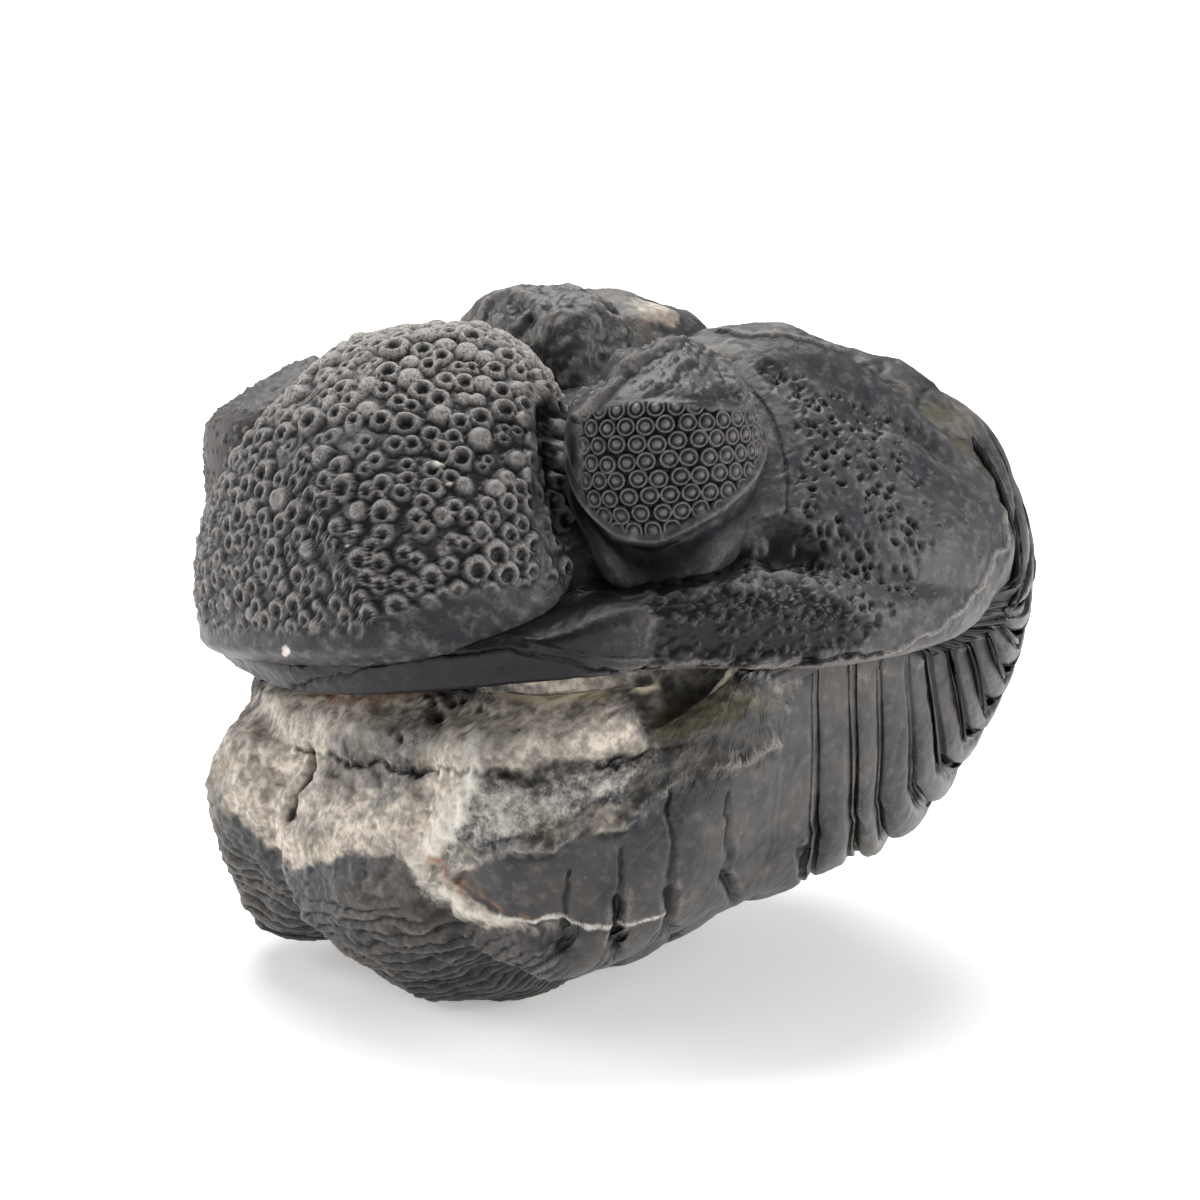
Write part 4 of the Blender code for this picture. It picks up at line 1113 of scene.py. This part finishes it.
@dataclass(frozen=True)
class Eye:
    """A tower with a band of lenses on its outer side and a peaked lid over them."""

    attitude: Attitude
    view: Viewpoint
    side: Side
    centre: Pixel = (14.9, -9.8)
    out: float = 4.6
    inward: float = 4.2
    back: float = 5.7
    fore: float = 5.9
    turn_deg: float = -14.0
    lid_z: float = 13.0
    peak_z: float = 16.6
    peak_shift: Pixel = (-0.8, 2.0)
    right_shift: tuple = (-1.6, -1.1, -0.2)
    knob: Pixel = (622, 362)
    steps: tuple = (0, .2, .32, .48, .62, .74, .82, .91, 1)
    step_z: tuple = (0.5, 3.0, 5.6, 8.5, 11.5, 13.4, 14.5, 15.8, 16.6)
    girth: tuple = (.45, .68, .84, 1.0, .985, .88, .66, .33, 0)
    pitch: float = 1.06
    row_pitch: float = 0.94
    radius: float = 5.1
    bead_height: float = .24
    rim_height: float = .17
    pit_depth: float = .22
    bank_height: float = .30
    low_turn: tuple = (-110, -90, -73, -60, -38, -7, 22, 50, 80, 110)
    low_z: tuple = (12, 9.4, 7.5, 6.5, 6.0, 6.9, 8.3, 9.9, 11.4, 12.5)
    high_turn: tuple = (-110, -73, -37, -16, 11, 37, 60, 110)
    high_z: tuple = (12.4, 12.7, 13.1, 12.9, 12.4, 12.1, 12.0, 12.0)
    ridge: tuple = ((580, 416), (600, 397), (640, 364), (668, 342), (690, 335), (712, 345), (730, 370), (748, 402))
    inner_facet: tuple = ((648, 398), (668, 384), (698, 356), (722, 378), (736, 402), (700, 404))
    moat: tuple = ((574, 420), (570, 470), (580, 515), (605, 545), (650, 558), (700, 548))
    turn_at: tuple = (-180, -108, 95, 180)
    turn_share: tuple = (0, .13, .87, 1)
    step_at: tuple = (0, .30, .74, .997)
    step_share: tuple = (0, .12, .82, 1)
    rows: int = 215
    columns: int = 445

    def surface(self, turn_deg: Array, step: Array) -> Array:
        """Point of the eye: `turn_deg` from its outer side to the rear, `step` from foot to peak.

        Each level is an oval of four different reaches, twisted and drawn towards the peak.
        """
        turn, twist = np.radians(turn_deg), math.radians(self.turn_deg)
        girth, z = flow(self.steps, self.girth, step), flow(self.steps, self.step_z, step)
        cos, sin = np.cos(turn), np.sin(turn)
        out = np.where(cos > 0, self.out, self.inward) * girth * cos
        back = np.where(sin > 0, self.back, self.fore) * girth * sin
        peak = np.clip((z - self.lid_z) / (self.peak_z - self.lid_z), 0, 1)
        x = self.centre[0] + out * math.cos(twist) - back * math.sin(twist) + self.peak_shift[0] * peak
        y = self.centre[1] + out * math.sin(twist) + back * math.cos(twist) + self.peak_shift[1] * peak
        points = np.stack([x, y, z], -1)
        return points if self.side is Side.LEFT else points * (-1, 1, 1) + self.right_shift

    def build(self) -> None:
        """Make and dress the eye."""
        turns = np.interp(np.linspace(0, 1, self.columns + 1)[:-1], self.turn_share, self.turn_at)
        steps = np.interp(np.linspace(0, 1, self.rows), self.step_share, self.step_at)
        step, turn = np.meshgrid(steps, turns, indexing="ij")
        points = self.attitude.stand(self.surface(turn, step))
        patch = Patch(points, points.mean(axis=(0, 1)), ring=True)
        self.dress(patch, turn, step)
        patch.piece(f"{self.side.name.lower()}_eye", StoneFinish("eye_calcite"))

    def dress(self, patch: Patch, turn: Array, step: Array) -> None:
        """Raise the lenses in their rims, and pimple the lid."""
        at, seen = patch.points, patch.seen(self.view)
        near = seen.ragged(at, 2, 1.4, 73)
        z = flow(self.steps, self.step_z, step)
        arc = np.radians(turn) * self.radius
        low, high = flow(self.low_turn, self.low_z, turn), flow(self.high_turn, self.high_z, turn)
        columns, rows = np.arange(-9, 10) * self.pitch, np.arange(0, 12) * self.row_pitch + 3.4
        grid = np.stack(np.meshgrid(columns, rows, indexing="ij"), -1)
        grid[:, ::2, 0] += self.pitch / 2
        grid += np.random.default_rng(6).normal(0, .035, grid.shape)
        close, _, _ = nearest_two(np.stack([arc, z], -1), grid.reshape(-1, 2))
        lenses = rise(-.1, .25, z - low) * rise(.1, -.25, z - high) * rise(92, 82, np.abs(turn - 8))
        if self.side is Side.RIGHT:
            lenses = lenses * (1 - seen.facing)
        share = close / self.pitch
        bead = self.bead_height * np.sqrt(np.clip(1 - (share / .26) ** 2, 0, 1))
        rim = self.rim_height * hump(share, .41, .11)
        pit = self.pit_depth * rise(.44, .56, share)
        bank = self.bank_height * hump(z - low, -.35, .6) * rise(110, 95, np.abs(turn))
        under = hump(z - low, -2.2, 1.6) * rise(110, 95, np.abs(turn))
        fade = rise(.985, .94, step)
        pimples, lot = pocks(at, .60, 77)
        lid = rise(.2, .7, z - high) * fade
        if self.side is Side.RIGHT:
            lid = np.maximum(lid, seen.facing * rise(2, 4, z) * fade)
        knobs = hump(pimples, 0, .52) * (.5 + .5 * lot)
        ridge, inner = near.stroke(self.ridge, 9), near.inside(self.inner_facet, 5)
        height = (bead + rim - pit - .1) * lenses + bank + .24 * knobs * lid * (1 - .5 * inner)
        height += (.34 * ridge - .15 * inner) * fade + .025 * rough(at, 1.0, 3, 71) * fade - .25 * under
        height += .7 * seen.spot(self.knob, 34, 26, -20)
        patch.raise_by(height)
        # Painted shade in the gaps between the lenses, in the moat, under the lens band and between the knobs of the
        # lid.
        patch.add(Mark.SHADE, lenses * (.95 * rise(.44, .54, share) + .6 * hump(share, .31, .06)))
        patch.add(Mark.SHADE, near.stroke(self.moat, 10, 14, 20) + .85 * under + .45 * lid * (1 - knobs))
        # Dusting mixed with painted highlight on the lens rims, the ridge and the knobs.
        patch.add(Mark.DUST_AND_HIGHLIGHT, .35 * lenses * hump(share, .41, .09) + .6 * ridge * fade + .3 * lid * knobs)
        # Lightens the raised edges, dusting mixed with painted highlight, and paints shade into the hollows.
        patch.brighten_edges_and_shade_hollows(.09, .09, .35)
        patch.clear(Mark.DUST_AND_HIGHLIGHT, .45 * lid * (1 - ridge) * (1 - knobs))
        # The far eye's lid is lightened on the dusting mark, partly as painted highlight.
        if self.side is Side.RIGHT:
            patch.add(Mark.DUST_AND_HIGHLIGHT, .5 * lid)


@dataclass(frozen=True)
class OccipitalRing:
    """The arched bar at the back of the head."""

    attitude: Attitude
    view: Viewpoint
    middle: tuple = (0.0, -4.7, 16.4)
    half_length: float = 7.8
    drop: float = 4.6
    radii: Pixel = (3.3, 3.6)
    bow: float = 0.6
    orange_spot: Pixel = (650, 308)
    bare_streak: tuple = ((590, 285), (640, 296), (690, 318), (715, 326))
    rows: int = 260
    columns: int = 200

    def surface(self, turn: Array, along: Array) -> Array:
        """Point of the bar: an oval of two radii, closed in at its ends, carried along a drooping arch."""
        end = np.sqrt(np.clip(1 - along ** 6, 0, 1))
        x = self.middle[0] + self.half_length * along
        y = self.middle[1] + self.bow * along ** 2 + self.radii[0] * end * np.cos(turn)
        z = self.middle[2] - self.drop * along ** 2 + self.radii[1] * end * np.sin(turn)
        return np.stack([x, y, z], -1)

    def build(self) -> None:
        """Make and dress the ring."""
        along = .9999 * np.sin(np.linspace(-math.pi / 2, math.pi / 2, self.rows))
        turns = np.linspace(0, 2 * math.pi, self.columns + 1)[:-1]
        along, turn = np.meshgrid(along, turns, indexing="ij")
        points = self.attitude.stand(self.surface(turn, along))
        patch = Patch(points, points.mean(axis=(0, 1)), ring=True)
        seen = patch.seen(self.view).ragged(points, 9, 1.8, 83)
        lumps, lot = pocks(points, 1.5, 85)
        broken = rise(-.2, .5, rough(points, 3.0, 3, 87))
        pits = hump(lumps, 0, .45) * (lot > .45)
        patch.raise_by(.34 * rough(points, 2.6, 5, 81) + .18 * broken - .38 * pits * broken)
        orange = seen.spot(self.orange_spot, 42, 24, 20)
        patch.add(Mark.TAN, .95 * orange + .6 * seen.stroke(self.bare_streak, 20))
        patch.add(Mark.WHITE, .40 * orange)
        patch.add(Mark.RUST, .40 * orange * broken)
        # Painted shade in the pits of the broken surface.
        patch.add(Mark.SHADE, .7 * pits * broken)
        # Lightens the raised edges, dusting mixed with painted highlight, and paints shade into the hollows.
        patch.brighten_edges_and_shade_hollows(.09, .14, .9)
        patch.piece("occipital_ring", StoneFinish("occipital_calcite"))


@dataclass(frozen=True)
class Studio:
    """A pale floor, a white room and soft lights."""

    view: Viewpoint
    floor_size: float = 6.0
    floor_colour: Colour = (0.93, 0.92, 0.91)
    floor_glow: float = 0.36
    room_strength: float = 0.34
    panels: tuple = (("overhead", (-0.42, 0.30, 1.0), 46.0, 3.5), ("left_panel", (-0.85, -0.62, 0.34), 40.0, 2.0),
                     ("right_panel", (0.80, 0.50, 0.32), 36.0, 2.1))

    def build(self) -> None:
        """Make the floor, the room's light, the lamps and the camera."""
        bpy.context.scene.view_settings.view_transform = "Standard"
        self.floor()
        self.room()
        for panel in self.panels:
            self.sky(*panel)
        self.view.camera()

    def floor(self) -> None:
        """A plain matt plane."""
        half = self.floor_size / 2
        mesh = bpy.data.meshes.new("floor")
        mesh.from_pydata([(-half, -half, 0), (half, -half, 0), (half, half, 0), (-half, half, 0)], [], [(0, 1, 2, 3)])
        made = bpy.data.objects.new("floor", mesh)
        bpy.context.collection.objects.link(made)
        material = bpy.data.materials.new("matt_floor")
        material.use_nodes = True
        shader = material.node_tree.nodes["Principled BSDF"]
        shader.inputs["Base Color"].default_value = (*self.floor_colour, 1)
        shader.inputs["Roughness"].default_value = 0.8
        shader.inputs["Emission Color"].default_value = (*self.floor_colour, 1)
        shader.inputs["Emission Strength"].default_value = self.floor_glow
        mesh.materials.append(material)

    def room(self) -> None:
        """Even white light from all round."""
        world = bpy.data.worlds.new("room")
        bpy.context.scene.world = world
        world.use_nodes = True
        background = world.node_tree.nodes["Background"]
        background.inputs["Color"].default_value = (1.0, 1.0, 1.0, 1)
        background.inputs["Strength"].default_value = self.room_strength

    def sky(self, name: str, towards: tuple, spread_deg: float, strength: float) -> None:
        """A very broad distant light, as from a large panel, that comes from `towards`."""
        data = bpy.data.lights.new(name, "SUN")
        data.angle, data.energy = math.radians(spread_deg), strength
        made = bpy.data.objects.new(name, data)
        made.rotation_mode = "QUATERNION"
        made.rotation_quaternion = (-Vector(towards)).to_track_quat("-Z", "Y")
        bpy.context.collection.objects.link(made)


def main() -> None:
    """Build the fossil and its studio."""
    logging.basicConfig(level=logging.INFO, format="%(message)s")
    attitude = Attitude()
    view = Viewpoint(attitude)
    Coil(attitude, view).build()
    HeadShield(attitude, view).build()
    Glabella(attitude, view).build()
    for side in Side:
        Eye(attitude, view, side).build()
    OccipitalRing(attitude, view).build()
    Studio(view).build()
    bpy.context.view_layer.update()


if __name__ == "__main__":
    main()
